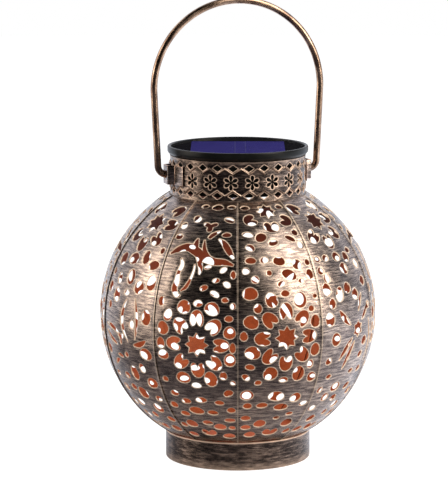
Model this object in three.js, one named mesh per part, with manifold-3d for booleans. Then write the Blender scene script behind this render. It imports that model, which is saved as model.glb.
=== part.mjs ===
// Hanging solar lantern: a pierced globe of ten sheet-metal gores on a short base ring, a pierced neck band
// with two strap ears for a wire bail, and a round solar head that plugs into the neck.
// Millimetres, +Z up. The origin is the middle of the base ring on the surface that it stands on.
// The bail's pivot axis lies along X.
import * as THREE from "three";
import { mergeVertices } from "three/addons/utils/BufferGeometryUtils.js";
import Module from "manifold-3d";

const wasm = await Module();
wasm.setup();

// ---------- driving dimensions ----------
const SHEET = 0.8; // metal sheet, with its two coats of finish
const GAP = 0.3; // clearance left between pieces that touch

const GLOBE_R = 80; // outside of the globe
const GLOBE_Z = 85; // its centre
const GORES = 10;
const GORE_DEG = 360 / GORES;
const GORE_COLUMNS = 2; // facets across one gore
const GORE_ROWS = 8; // facets up one gore
const GORE_LOW_R = 39; // radius where the gores end inside the base ring
const GORE_TOP_R = 39.9; // radius where they end round the neck band

const BASE_R = 42.1;
const BASE_H = 16.4;
const BASE_SIDES = 36;
const BASE_HEM = 3.2; // width of the hem that the lantern stands on
const PLATE_Z = 13.6; // underside of the floor plate
const PLATE_INSET = 0.6; // from the base ring's wall to the plate's edge
const DRAIN_R = 3;
const DRAIN_RING_R = 22;
const DRAIN_ANGLES = [0, 60, 120, 180, 240, 300];

const NECK_R = 39; // outside of the neck band
const NECK_SIDES = 30;
const NECK_LOW = 153.2;
const NECK_TOP = 177.1;
const COLLAR_LOW = 150.6; // the joining strip inside the band's foot
const COLLAR_TOP = 155.4;
const COLLAR_THICK = 0.5;
const FLOWERS = 20;
const FLOWER_R = 3.8;
const FLOWER_Z = 165.4;
const FLOWER_PHASE = 12.2; // degrees from +X to the first flower
const DIAMONDS = 27;
const DIAMOND_W = 5.8;
const DIAMOND_H = 4;
const DIAMOND_ROWS = [157.9, 173.5];
const DIAMOND_PHASE = 8;

const EAR_Z = 167.1; // bail pivot height
const EAR_H = 11;
const EAR_W = 9.2;
const EAR_REACH = 43.6; // outer wall of the strap
const EAR_FLANGE_DEG = 20.5; // where its flanges end, from the ear's middle
const EAR_CLEAR_DEG = 20; // no flower is cut nearer to an ear than this

const WIRE_R = 2;
const BAIL_HALF = 50.2; // wire centre from the middle of the lantern, at the foot of the arch
const BAIL_FOOT_HALF = 48; // and just above the ears
const BAIL_SPRING_Z = 215.4; // where the legs turn into the arch
const BAIL_BEND_R = 5;
const BAIL_TIP = 40.8; // inner end of the wire, inside the ear
const PIVOT_HOLE_R = 2.35;

const CAP_R = 40.6; // outside of the cap's rim
const CAP_WALL_LOW_R = 39.1; // its tapered foot
const CAP_HOLE_R = 35; // hole in its floor
const CAP_FLOOR = 1.6;
const HEAD_SIDES = 36;
const CAP_LOW = 177.4;
const CAP_TOP = 182.4;
const HEAD_TURN = -18; // resting turn of the solar head, degrees
const CELL_SIDE = 54;
const PANEL_R = 38.2;
const CELL_THICK = 0.35;
const PANEL_BOARD_TOP = 180.5;

const CUP_R = 36.4; // housing under the cap
const CUP_WALL = 1.5;
const CUP_FLOOR_R = 34.6;
const CUP_LOW = 156.5;
const CUP_TAPER_Z = 163;
const SEAL_Z = 175.1;
const SEAL_R = 36.9; // middle of the seal ring's section
const SEAL_SECTION_R = 0.9;
const SEAL_SIDES = 6;
const GROOVE_R = 35.6; // floor of the seal's groove
const GROOVE_HALF = 1.3;

const BATTERY_R = 5.25;
const BATTERY_L = 44.5;
const BATTERY_Y = 14.6;
const BATTERY_Z = 162.6;
const TRAY_X = 24.9; // half length of the battery well
const TRAY_Y = 5.9; // half width
const TRAY_WALL = 1.2;
const TRAY_TOP = 168.5;
const DOOR_AXIS = [22.6, 154.9]; // y and z of the door's hinge pin
const DOOR_THICK = 1.2;
const PIN_R = 0.7;
const PIN_HALF = 18.4;
const BARREL_R = 1.3;
const BARREL_HALF = 15;
const LUG_X = 17; // the housing's two lugs carry the pin
const LUG_R = 1.6;

const BOARD = { x: 20, yLow: -25, yHigh: 6.4, z: 163.4, thick: 1.2 };
const BOARD_SCREWS = [[-16, -3], [16, -3]];
const SWITCH_Y = -15;
const SWITCH_Z = 158.4;
const LENS_R = 7.4;
const LENS_DOME_R = 5.8;

// ---------- finishes ----------
const finish = (color, roughness, metalness) => new THREE.MeshStandardMaterial({ color, roughness, metalness });
const bronze = finish(0x8a6248, 0.38, 0.9);
const darkBronze = finish(0x553a2c, 0.42, 0.9);
const copperWire = finish(0xa07056, 0.35, 0.9);
const blackPlastic = finish(0x101112, 0.35, 0);
const rubber = finish(0x1b1b1b, 0.8, 0);
const cellBlue = finish(0x1c1c4e, 0.25, 0.1);
const clear = finish(0xe8eef4, 0.08, 0);
const steel = finish(0xb8bbc0, 0.3, 1);
const boardGreen = finish(0x1f5a37, 0.5, 0);
const redLead = finish(0xa02018, 0.5, 0);
const blackLead = finish(0x161616, 0.5, 0);
const batteryGreen = finish(0x3d7a44, 0.4, 0);
const ledWhite = finish(0xfff2c8, 0.2, 0);

// ---------- solids and placing ----------
const rad = THREE.MathUtils.degToRad;

// A closed geometry as a manifold-3d solid, facing out.
function solid(geometry) {
  const bare = geometry.clone();
  bare.deleteAttribute("normal");
  bare.deleteAttribute("uv");
  const merged = mergeVertices(bare, 1e-4);
  const vertProperties = new Float32Array(merged.attributes.position.array);
  const triVerts = new Uint32Array(merged.index.array);
  const made = new wasm.Manifold(new wasm.Mesh({ numProp: 3, vertProperties, triVerts }));
  if (made.volume() > 0) return made;
  for (let i = 0; i < triVerts.length; i += 3) {
    [triVerts[i + 1], triVerts[i + 2]] = [triVerts[i + 2], triVerts[i + 1]];
  }
  return new wasm.Manifold(new wasm.Mesh({ numProp: 3, vertProperties, triVerts }));
}

// A solid's surface as a geometry, with flat faces.
function surface(made) {
  const mesh = made.getMesh();
  const geometry = new THREE.BufferGeometry();
  geometry.setAttribute("position", new THREE.BufferAttribute(new Float32Array(mesh.vertProperties), 3));
  geometry.setIndex(new THREE.BufferAttribute(new Uint32Array(mesh.triVerts), 1));
  const flat = geometry.toNonIndexed();
  flat.computeVertexNormals();
  return flat;
}

const lantern = new THREE.Group();
const head = new THREE.Group();
lantern.add(head);

function piece(name, made, material, group = lantern) {
  const mesh = new THREE.Mesh(surface(made), material);
  mesh.name = name;
  group.add(mesh);
}

// A profile of [radius, height] points turned about Z. It starts and ends on the axis, or closes on itself.
function turned(profile, segments) {
  const points = profile.map(([r, z]) => new THREE.Vector2(r, z));
  if (profile[0][0] > 0) points.push(points[0].clone());
  return solid(new THREE.LatheGeometry(points, segments).rotateX(Math.PI / 2));
}

function block(low, high) {
  const size = low.map((v, i) => high[i] - v);
  const middle = low.map((v, i) => (high[i] + v) / 2);
  return solid(new THREE.BoxGeometry(...size).translate(...middle));
}

// A round bar from one height to another, at x, y.
function bar(radius, low, high, x = 0, y = 0, sides = 16) {
  const shape = new THREE.CylinderGeometry(radius, radius, high - low, sides).rotateX(Math.PI / 2);
  return solid(shape.translate(x, y, (low + high) / 2));
}

// A round bar along X, between two values of x.
function barAlongX(radius, from, to, y, z, sides = 10) {
  const shape = new THREE.CylinderGeometry(radius, radius, to - from, sides).rotateZ(Math.PI / 2);
  return solid(shape.translate((from + to) / 2, y, z));
}

function tube(path, radius, sides, steps) {
  const section = new THREE.Shape().absarc(0, 0, radius, 0, 2 * Math.PI);
  const settings = { steps, curveSegments: sides / 2, extrudePath: path };
  return solid(new THREE.ExtrudeGeometry(section, settings));
}

function cutAll(body, cutters) {
  const tool = cutters.reduce((sum, next) => sum.add(next));
  return body.subtract(tool);
}

// ---------- pierced holes ----------
// Outlines in millimetres, x to the right and y up as seen from outside. The sheet's smaller holes and
// the fine outline of each hole belong to the visual model.
const MM_PER_DEG = rad(1) * GLOBE_R;
const OVAL_SIDES = 5;

function polygon(points) {
  return new THREE.Shape(points.map(([x, y]) => new THREE.Vector2(x, y)));
}

function oval(width, height, tilt = 0, sides = OVAL_SIDES) {
  const c = Math.cos(rad(tilt));
  const s = Math.sin(rad(tilt));
  const corners = [];
  for (let i = 0; i < sides; i += 1) {
    const turn = (2 * Math.PI * i) / sides;
    const x = (width / 2) * Math.cos(turn);
    const y = (height / 2) * Math.sin(turn);
    corners.push([x * c - y * s, x * s + y * c]);
  }
  return polygon(corners);
}

// A blunt petal, widest away from the flower's middle.
function petal(width, height, turn) {
  const w = width / 2;
  const h = height / 2;
  const outline = [[-0.8 * w, -h], [0.8 * w, -h], [w, 0.3 * h], [0, h], [-w, 0.3 * h]];
  const c = Math.cos(turn);
  const s = Math.sin(turn);
  return polygon(outline.map(([x, y]) => [x * c + y * s, y * c - x * s]));
}

// A leaf slit from one point to another, given in degrees from the gore's middle.
function leaf(from, to, width) {
  const lat = (from[1] + to[1]) / 2;
  const dx = (to[0] - from[0]) * Math.cos(rad(lat)) * MM_PER_DEG;
  const dy = (to[1] - from[1]) * MM_PER_DEG;
  const turn = THREE.MathUtils.radToDeg(Math.atan2(dy, dx));
  return { u: (from[0] + to[0]) / 2, v: lat, shape: oval(Math.hypot(dx, dy), width, turn, 6) };
}

// A cut straight through a wall, along the radius at an angle and a latitude.
function radialCut(shape, angle, latitude, centreZ, inner, outer) {
  const a = rad(angle);
  const l = rad(latitude);
  const out = new THREE.Vector3(Math.cos(a) * Math.cos(l), Math.sin(a) * Math.cos(l), Math.sin(l));
  const east = new THREE.Vector3(-Math.sin(a), Math.cos(a), 0);
  const north = new THREE.Vector3().crossVectors(out, east);
  const settings = { depth: outer - inner, bevelEnabled: false };
  const place = new THREE.Matrix4().makeBasis(east, north, out);
  place.setPosition(out.clone().multiplyScalar(inner).add(new THREE.Vector3(0, 0, centreZ)));
  return solid(new THREE.ExtrudeGeometry(shape, settings).applyMatrix4(place));
}

// ---------- globe pattern ----------
// Places are in degrees: u from the gore's middle towards +angle, v is the latitude.
const PETALS = 8;
const PETAL_RING = 10; // degrees from the rosette's middle

// A round star hole in a ring of petals.
function rosette(u, v) {
  const holes = [{ u, v, shape: oval(11, 11, 0, PETALS) }];
  for (let i = 0; i < PETALS; i += 1) {
    const turn = (2 * Math.PI * i) / PETALS;
    const latitude = v + PETAL_RING * Math.cos(turn);
    const across = (PETAL_RING * Math.sin(turn)) / Math.cos(rad(latitude));
    holes.push({ u: u + across, v: latitude, shape: petal(6.6, 7.6, turn) });
  }
  return holes;
}

const ovals = (width, height, places) => places.map(([u, v]) => ({ u, v, shape: oval(width, height) }));

const PATTERNS = {
  rosetteUnderWings: [
    ...rosette(1.5, -3.5),
    leaf([-9.5, 33], [-5.5, 19], 4.4),
    leaf([3.5, 38], [13, 29], 4.4),
    ...ovals(6, 5, [[4, 21], [2, 46], [3, 55], [-10, -28], [1, -28.5], [-5, -38], [7, -40]]),
  ],
  rosetteUnderOvals: [
    ...rosette(1.5, -1),
    ...ovals(6.2, 5.6, [[-11, 25], [0, 27], [10, 29], [-6, 38], [6, 40], [0, 54]]),
    ...ovals(6, 5, [[-11, -27], [1, -28], [-4, -40], [9, -40]]),
  ],
  wingsUnderRosette: [
    ...rosette(0, 46.5),
    ...ovals(6.4, 6, [[-10, 25], [5.5, 27], [0, 17]]),
    leaf([2, -1], [11, 6], 4),
    leaf([2, -6], [11, -13], 4),
    leaf([-2, -1], [-11, 6], 4),
    leaf([-2, -6], [-11, -13], 4),
    ...ovals(6, 5.4, [[0, -18], [-9, -29], [6, -31], [-2, -43]]),
  ],
};

// Which pattern each gore carries, counted from +X.
const GORE_PATTERN = [
  "rosetteUnderOvals", "wingsUnderRosette", "rosetteUnderWings", "rosetteUnderOvals", "rosetteUnderWings",
  "wingsUnderRosette", "rosetteUnderWings", "rosetteUnderOvals", "wingsUnderRosette", "rosetteUnderWings",
];

// ---------- globe ----------
function globeShell() {
  const inner = GLOBE_R - SHEET;
  const low = -Math.acos(GORE_LOW_R / GLOBE_R);
  const high = Math.acos(GORE_TOP_R / GLOBE_R);
  const profile = [];
  for (let i = 0; i <= GORE_ROWS; i += 1) {
    const l = low + ((high - low) * i) / GORE_ROWS;
    profile.push([GLOBE_R * Math.cos(l), GLOBE_Z + GLOBE_R * Math.sin(l)]);
  }
  for (let i = GORE_ROWS; i >= 0; i -= 1) {
    const l = low + ((high - low) * i) / GORE_ROWS;
    profile.push([inner * Math.cos(l), GLOBE_Z + inner * Math.sin(l)]);
  }
  return turned(profile, GORES * GORE_COLUMNS);
}

// The wedge of space that one gore fills, a little short of the seam on each side.
function wedge(middle) {
  const reach = 1.3 * GLOBE_R;
  const setBack = GAP / 2 / Math.sin(rad(GORE_DEG / 2));
  const at = (r, angle) => new THREE.Vector2(r * Math.cos(rad(angle)), r * Math.sin(rad(angle)));
  const tip = at(setBack, middle);
  const sides = [middle - GORE_DEG / 2, middle + GORE_DEG / 2].map((angle) => at(reach, angle).add(tip));
  const shape = new THREE.Shape([tip, ...sides]);
  return solid(new THREE.ExtrudeGeometry(shape, { depth: 2 * GLOBE_Z, bevelEnabled: false }));
}

// A hole is left out where it would run into a seam.
function clearOfSeams({ u, v }) {
  const toSeam = (GORE_DEG / 2 - Math.abs(u)) * Math.cos(rad(v)) * MM_PER_DEG;
  return toSeam > 4.6;
}

function addGlobe() {
  const shell = globeShell();
  for (let gore = 0; gore < GORES; gore += 1) {
    const middle = (gore + 0.5) * GORE_DEG;
    const holes = PATTERNS[GORE_PATTERN[gore]].filter(clearOfSeams);
    const cuts = holes.map(({ u, v, shape }) =>
      radialCut(shape, middle + u, v, GLOBE_Z, GLOBE_R - 9, GLOBE_R + 4));
    const name = "globe_panel_" + String(gore + 1).padStart(2, "0");
    piece(name, cutAll(shell.intersect(wedge(middle)), cuts), bronze);
  }
}

// ---------- base ----------
function addBase() {
  const inner = BASE_R - SHEET + 0.1;
  const hem = BASE_R - BASE_HEM;
  const wall = [[hem, 0], [BASE_R, 0], [BASE_R, BASE_H], [inner, BASE_H], [inner, SHEET], [hem, SHEET]];
  piece("base_ring", turned(wall, BASE_SIDES), darkBronze);

  const plateR = inner - PLATE_INSET;
  const plateTop = PLATE_Z + SHEET;
  const plate = turned([[0, PLATE_Z], [plateR, PLATE_Z], [plateR, plateTop], [0, plateTop]], BASE_SIDES);
  const drains = DRAIN_ANGLES.map((angle) => {
    const [x, y] = [DRAIN_RING_R * Math.cos(rad(angle)), DRAIN_RING_R * Math.sin(rad(angle))];
    return bar(DRAIN_R, PLATE_Z - 1, plateTop + 1, x, y, 8);
  });
  piece("base_plate", cutAll(plate, drains), darkBronze);
}

// ---------- neck ----------
function addNeck() {
  const inner = NECK_R - SHEET;
  const band = turned([[inner, NECK_LOW], [NECK_R, NECK_LOW], [NECK_R, NECK_TOP], [inner, NECK_TOP]], NECK_SIDES);
  const cuts = [];
  const flower = oval(2 * FLOWER_R, 2 * FLOWER_R, 90, 6);
  for (let i = 0; i < FLOWERS; i += 1) {
    const angle = FLOWER_PHASE + (360 * i) / FLOWERS;
    const fromEar = Math.abs(((angle + 90) % 180) - 90);
    if (fromEar < EAR_CLEAR_DEG) continue;
    cuts.push(radialCut(flower, angle, 0, FLOWER_Z, inner - 2, NECK_R + 2));
  }
  const w = DIAMOND_W / 2;
  const h = DIAMOND_H / 2;
  const diamond = polygon([[-w, 0], [0, -h], [w, 0], [0, h]]);
  for (const z of DIAMOND_ROWS) {
    for (let i = 0; i < DIAMONDS; i += 1) {
      const angle = DIAMOND_PHASE + (360 * i) / DIAMONDS;
      cuts.push(radialCut(diamond, angle, 0, z, inner - 2, NECK_R + 2));
    }
  }
  piece("neck_band", cutAll(band, cuts), bronze);

  const out = inner - GAP;
  const inside = out - COLLAR_THICK;
  const strip = [[inside, COLLAR_LOW], [out, COLLAR_LOW], [out, COLLAR_TOP], [inside, COLLAR_TOP]];
  piece("neck_collar", turned(strip, NECK_SIDES), darkBronze);
}

// A strap bent out into a box, open above and below, with two flanges that lie on the band.
function addEar(name, side) {
  const flangeIn = NECK_R + GAP;
  const flangeOut = flangeIn + SHEET;
  const edge = EAR_W / 2;
  const rootOut = Math.asin(edge / flangeOut);
  const rootIn = Math.asin((edge - SHEET) / flangeIn);
  const tip = rad(EAR_FLANGE_DEG);
  const shape = new THREE.Shape();
  shape.absarc(0, 0, flangeOut, -tip, -rootOut, false);
  shape.lineTo(EAR_REACH - SHEET, -edge);
  shape.absarc(EAR_REACH - SHEET, -edge + SHEET, SHEET, -Math.PI / 2, 0, false);
  shape.absarc(EAR_REACH - SHEET, edge - SHEET, SHEET, 0, Math.PI / 2, false);
  shape.absarc(0, 0, flangeOut, rootOut, tip, false);
  shape.absarc(0, 0, flangeIn, tip, rootIn, true);
  shape.lineTo(EAR_REACH - SHEET, edge - SHEET);
  shape.lineTo(EAR_REACH - SHEET, -edge + SHEET);
  shape.absarc(0, 0, flangeIn, -rootIn, -tip, true);
  const strap = new THREE.ExtrudeGeometry(shape, { depth: EAR_H, bevelEnabled: false, curveSegments: 4 });
  const made = solid(strap.translate(0, 0, EAR_Z - EAR_H / 2));
  const hole = barAlongX(PIVOT_HOLE_R, EAR_REACH - 3, EAR_REACH + 3, 0, EAR_Z, 12);
  const facing = side > 0 ? 0 : Math.PI;
  const placed = surface(made.subtract(hole)).rotateZ(facing);
  piece(name, solid(placed), bronze);
}

// ---------- bail ----------
function addBail() {
  const at = (x, z) => new THREE.Vector3(x, 0, z);
  const bendZ = EAR_Z + BAIL_BEND_R;
  const foot = BAIL_FOOT_HALF;
  const bendX = foot - BAIL_BEND_R;
  const path = new THREE.CurvePath();
  path.add(new THREE.LineCurve3(at(-BAIL_TIP, EAR_Z), at(-bendX, EAR_Z)));
  path.add(new THREE.QuadraticBezierCurve3(at(-bendX, EAR_Z), at(-foot, EAR_Z), at(-foot, bendZ)));
  path.add(new THREE.LineCurve3(at(-foot, bendZ), at(-BAIL_HALF, BAIL_SPRING_Z)));
  path.add(new Arch());
  path.add(new THREE.LineCurve3(at(BAIL_HALF, BAIL_SPRING_Z), at(foot, bendZ)));
  path.add(new THREE.QuadraticBezierCurve3(at(foot, bendZ), at(foot, EAR_Z), at(bendX, EAR_Z)));
  path.add(new THREE.LineCurve3(at(bendX, EAR_Z), at(BAIL_TIP, EAR_Z)));
  piece("bail_handle", tube(path, WIRE_R, 8, 56), copperWire);
}

// The half circle over the top of the bail.
class Arch extends THREE.Curve {
  getPoint(t, target = new THREE.Vector3()) {
    const turn = Math.PI * (1 - t);
    return target.set(BAIL_HALF * Math.cos(turn), 0, BAIL_SPRING_Z + BAIL_HALF * Math.sin(turn));
  }
}

// ---------- solar head ----------
function addCap() {
  const floor = CAP_LOW + CAP_FLOOR;
  const recess = PANEL_R + GAP;
  const rim = [
    [CAP_HOLE_R, CAP_LOW], [CAP_WALL_LOW_R, CAP_LOW], [CAP_R, floor], [CAP_R, CAP_TOP - 0.5],
    [CAP_R - 0.5, CAP_TOP], [recess + 0.6, CAP_TOP], [recess, CAP_TOP - 0.5], [recess, floor], [CAP_HOLE_R, floor],
  ];
  piece("cap_bezel", turned(rim, HEAD_SIDES), blackPlastic, head);

  const disc = (low, high) => turned([[0, low], [PANEL_R, low], [PANEL_R, high], [0, high]], HEAD_SIDES);
  const cellLow = PANEL_BOARD_TOP + GAP;
  const cellTop = cellLow + CELL_THICK;
  piece("panel_backing", disc(floor + GAP, PANEL_BOARD_TOP), blackPlastic, head);
  const half = CELL_SIDE / 2;
  piece("solar_cell", block([-half, -half, cellLow], [half, half, cellTop]), cellBlue, head);
  piece("panel_cover", disc(cellTop + GAP, CAP_TOP - 0.4), clear, head);
}

// The cup under the cap, with its battery well, board posts, door lugs and the groove for the seal.
function addHousing() {
  const inner = CUP_R - CUP_WALL;
  const innerFloor = CUP_FLOOR_R - CUP_WALL;
  const floorTop = CUP_LOW + CUP_WALL;
  const shoulder = CAP_LOW - GAP;
  const grooveLow = SEAL_Z - GROOVE_HALF;
  const grooveTop = SEAL_Z + GROOVE_HALF;
  const spigot = CAP_HOLE_R - GAP;
  const spigotTop = CAP_LOW + 1.2;
  const cup = turned([
    [0, CUP_LOW], [CUP_FLOOR_R, CUP_LOW], [CUP_R, CUP_TAPER_Z], [CUP_R, grooveLow], [GROOVE_R, grooveLow],
    [GROOVE_R, grooveTop], [CUP_R, grooveTop], [CUP_R, shoulder], [spigot, shoulder], [spigot, spigotTop],
    [spigot - 1.3, spigotTop], [spigot - 1.3, grooveLow - 1.5], [inner, grooveLow - 3], [inner, CUP_TAPER_Z],
    [innerFloor, floorTop], [0, floorTop],
  ], HEAD_SIDES);

  const yLow = BATTERY_Y - TRAY_Y;
  const yHigh = BATTERY_Y + TRAY_Y;
  const trayOut = block(
    [-TRAY_X - TRAY_WALL, yLow - TRAY_WALL, CUP_LOW + 0.5], [TRAY_X + TRAY_WALL, yHigh + TRAY_WALL, TRAY_TOP]);
  const well = block([-TRAY_X, yLow, CUP_LOW - 1], [TRAY_X, yHigh, TRAY_TOP + 1]);

  const [pinY, pinZ] = DOOR_AXIS;
  const lugs = [-LUG_X, LUG_X].map((x) => {
    const stem = block([x - 1.2, pinY - LUG_R, pinZ], [x + 1.2, pinY + LUG_R, CUP_LOW + 0.5]);
    const eye = barAlongX(LUG_R, x - 1.2, x + 1.2, pinY, pinZ, 12);
    return stem.add(eye).subtract(barAlongX(PIN_R + 0.25, x - 2, x + 2, pinY, pinZ));
  });
  const posts = BOARD_SCREWS.map(([x, y]) => {
    const post = bar(2, floorTop - 0.5, BOARD.z - GAP, x, y, 12);
    return post.subtract(bar(0.85, BOARD.z - 4, BOARD.z + 1, x, y, 8));
  });
  const slot = block([-4, SWITCH_Y - 1.7, CUP_LOW - 1], [4, SWITCH_Y + 1.7, floorTop + 1]);
  const ledHole = bar(2.9, CUP_LOW - 1, floorTop + 1);

  let made = cup.add(trayOut);
  for (const part of [...lugs, ...posts]) made = made.add(part);
  made = cutAll(made, [well, slot, ledHole]);
  piece("cap_housing", made, blackPlastic, head);

  const ringPoints = [];
  for (let i = 0; i < SEAL_SIDES; i += 1) {
    const turn = (2 * Math.PI * i) / SEAL_SIDES;
    ringPoints.push([SEAL_R + SEAL_SECTION_R * Math.cos(turn), SEAL_Z + SEAL_SECTION_R * Math.sin(turn)]);
  }
  piece("seal_ring", turned(ringPoints, HEAD_SIDES), rubber);
}

function addBoard() {
  const screwHoles = BOARD_SCREWS.map(([x, y]) => bar(1.25, BOARD.z - 1, BOARD.z + 3, x, y, 10));
  const slab = block([-BOARD.x, BOARD.yLow, BOARD.z], [BOARD.x, BOARD.yHigh, BOARD.z + BOARD.thick]);
  const round = bar(CUP_R - CUP_WALL - 2.5, BOARD.z - 1, BOARD.z + 3, 0, 0, 32);
  piece("circuit_board", cutAll(slab.intersect(round), screwHoles), boardGreen, head);
  BOARD_SCREWS.forEach(([x, y], i) => {
    const top = BOARD.z + BOARD.thick;
    const shank = bar(0.6, BOARD.z - 3.4, top + 0.6, x, y, 8);
    piece("board_screw_" + (i + 1), shank.add(bar(2, top + GAP, top + GAP + 1.2, x, y, 12)), steel, head);
  });
}

function addBattery() {
  const nub = barAlongX(2, BATTERY_L / 2 - 1, BATTERY_L / 2, BATTERY_Y, BATTERY_Z);
  const can = barAlongX(BATTERY_R, -BATTERY_L / 2, BATTERY_L / 2 - 0.8, BATTERY_Y, BATTERY_Z, 20);
  piece("battery", can.add(nub), batteryGreen, head);

  const low = [TRAY_X - 0.8, BATTERY_Y - 4, BATTERY_Z - 4];
  piece("contact_plate", block(low, [TRAY_X - 0.35, BATTERY_Y + 4, TRAY_TOP + 1]), steel, head);
  piece("contact_spring", tube(new ContactSpring(), 0.25, 4, 34), steel, head);
}

// The coil that presses on the battery's flat end.
class ContactSpring extends THREE.Curve {
  getPoint(t, target = new THREE.Vector3()) {
    const turn = 2 * Math.PI * 3 * t;
    const r = 3.6 - 1.4 * t;
    const x = -TRAY_X + 0.6 + t * (TRAY_X - BATTERY_L / 2 - 1.2);
    return target.set(x, BATTERY_Y + r * Math.cos(turn), BATTERY_Z + r * Math.sin(turn));
  }
}

// A plate under the battery well, hinged on a pin along its outer side.
function addDoor() {
  const [pinY, pinZ] = DOOR_AXIS;
  const top = CUP_LOW - GAP;
  const yLow = BATTERY_Y - TRAY_Y - 1;
  const plate = block([-25.8, yLow, top - DOOR_THICK], [25.8, pinY - 2, top]);
  const arm = block([1 - BARREL_HALF, pinY - 3, top - DOOR_THICK], [BARREL_HALF - 1, pinY, top]);
  const tab = block([-4, yLow, top - DOOR_THICK - 1], [4, yLow + 1.2, top - DOOR_THICK + 0.5]);
  const barrel = barAlongX(BARREL_R, -BARREL_HALF, BARREL_HALF, pinY, pinZ, 12);
  const bore = barAlongX(PIN_R + 0.25, -BARREL_HALF - 1, BARREL_HALF + 1, pinY, pinZ);
  piece("battery_door", plate.add(arm).add(tab).add(barrel).subtract(bore), blackPlastic, head);
  piece("door_pin", barAlongX(PIN_R, -PIN_HALF, PIN_HALF, pinY, pinZ, 8), steel, head);
}

function addSwitch() {
  const body = block([-6.5, SWITCH_Y - 3.2, SWITCH_Z], [6.5, SWITCH_Y + 3.2, BOARD.z - GAP]);
  piece("switch_body", body, steel, head);
  const knob = block([-3, SWITCH_Y - 1.2, CUP_LOW - 2], [-0.4, SWITCH_Y + 1.2, SWITCH_Z - GAP]);
  piece("switch_slider", knob, blackPlastic, head);
}

function addLamp() {
  const flange = CUP_LOW + CUP_WALL + GAP;
  const led = turned([
    [0, 152.6], [1.3, 152.9], [2.2, 153.8], [2.5, 155], [2.5, flange], [3.3, flange], [3.3, flange + 1],
    [0, flange + 1],
  ], 12);
  const legs = [-1.27, 1.27].map((x) => block([x - 0.25, -0.25, flange + 0.5], [x + 0.25, 0.25, BOARD.z - GAP]));
  piece("led", led.add(legs[0]).add(legs[1]), ledWhite, head);

  const top = CUP_LOW - GAP;
  const wall = 0.8;
  const domeLow = top - 1 - LENS_DOME_R * 0.9;
  piece("lens_dome", turned([
    [0, domeLow], [0.5 * LENS_DOME_R, domeLow + 0.7], [0.87 * LENS_DOME_R, domeLow + 2.6],
    [LENS_DOME_R, top - 1], [LENS_R, top - 1], [LENS_R, top], [LENS_DOME_R - wall, top],
    [0.87 * LENS_DOME_R - wall, domeLow + 2.9], [0.5 * LENS_DOME_R - 0.3, domeLow + 1.5], [0, domeLow + 0.8],
  ], 16), clear, head);
}

// Insulated leads from the panel and from the battery contacts to the board.
function addLeads() {
  const boardTop = BOARD.z + BOARD.thick + GAP;
  const panel = CAP_LOW + 1.2;
  const lead = (name, points, material) => {
    const path = new THREE.CatmullRomCurve3(points.map(([x, y, z]) => new THREE.Vector3(x, y, z)));
    piece(name, tube(path, 0.6, 6, 12), material, head);
  };
  lead("panel_lead_red", [[4, -8, panel], [5, -8, 173], [9, -12, 169], [9, -12, boardTop]], redLead);
  lead("panel_lead_black", [[-4, -8, panel], [-5, -8, 173], [-9, -12, 169], [-9, -12, boardTop]], blackLead);
  const plateX = TRAY_X - 1.9;
  lead("battery_lead_red",
    [[plateX, BATTERY_Y, TRAY_TOP + 1.6], [20, 10, 171.5], [11, 4, 169], [10, 3, boardTop]], redLead);
  lead("battery_lead_black",
    [[-plateX, BATTERY_Y, TRAY_TOP + 1.6], [-20, 10, 171.5], [-11, 4, 169], [-10, 3, boardTop]], blackLead);
}

addBase();
addGlobe();
addNeck();
addEar("ear_right", 1);
addEar("ear_left", -1);
addBail();
addCap();
addHousing();
addBoard();
addBattery();
addDoor();
addSwitch();
addLamp();
addLeads();
head.rotation.z = rad(HEAD_TURN);

export default lantern;
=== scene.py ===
"""Looks of the pierced globe lantern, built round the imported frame. Sizes below are in millimetres and most
angles in degrees, and they are turned into metres and radians as they are used."""

import math

import bmesh
import bpy
import numpy as np
from mathutils import Matrix, Vector
from mathutils.geometry import delaunay_2d_cdt


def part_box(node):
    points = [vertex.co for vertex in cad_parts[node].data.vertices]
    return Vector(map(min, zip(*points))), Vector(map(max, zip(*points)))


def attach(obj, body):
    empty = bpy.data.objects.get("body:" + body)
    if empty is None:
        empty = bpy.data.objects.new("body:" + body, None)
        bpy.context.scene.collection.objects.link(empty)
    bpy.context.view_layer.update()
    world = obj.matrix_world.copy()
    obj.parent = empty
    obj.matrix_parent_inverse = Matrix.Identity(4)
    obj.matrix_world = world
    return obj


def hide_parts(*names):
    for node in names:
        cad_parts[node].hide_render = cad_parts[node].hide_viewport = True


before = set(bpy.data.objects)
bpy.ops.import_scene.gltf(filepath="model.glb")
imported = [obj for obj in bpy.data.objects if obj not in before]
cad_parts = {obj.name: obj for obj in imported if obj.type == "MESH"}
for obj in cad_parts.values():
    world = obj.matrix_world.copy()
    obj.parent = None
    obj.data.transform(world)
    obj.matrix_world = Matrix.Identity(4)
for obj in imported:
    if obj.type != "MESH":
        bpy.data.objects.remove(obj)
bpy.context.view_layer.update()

MM = 0.001


# ---------- sizes taken from the frame ----------

def low_high(node):
    """A node's box in millimetres."""
    low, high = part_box(node)
    return low / MM, high / MM


neck_low, neck_high = low_high("neck_band")
base_high = low_high("base_ring")[1]
cap_low, cap_high = low_high("cap_bezel")
bail_low, bail_high = low_high("bail_handle")
ear_low, ear_high = low_high("ear_right")

GLOBE_Z = 85.0
GLOBE_R = 80.0
GORES = 10
GORE_DEG = 360 / GORES           # each gore's share of the globe
SHEET = 0.6                      # metal thickness
DEG_MM = math.radians(GLOBE_R)   # one degree along the globe
NECK_R = 39.0
BASE_R = base_high.x
CAP_R = cap_high.x
HEAD_TURN = math.radians(-18)    # resting turn of the solar head
PIVOT_Z = 167.1                  # height of the holes that the bail turns in


# ---------- mesh tools ----------

def in_scene(name, data):
    """An object for a mesh, a lamp or a camera, linked to the scene."""
    obj = bpy.data.objects.new(name, data)
    bpy.context.scene.collection.objects.link(obj)
    return obj


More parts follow.
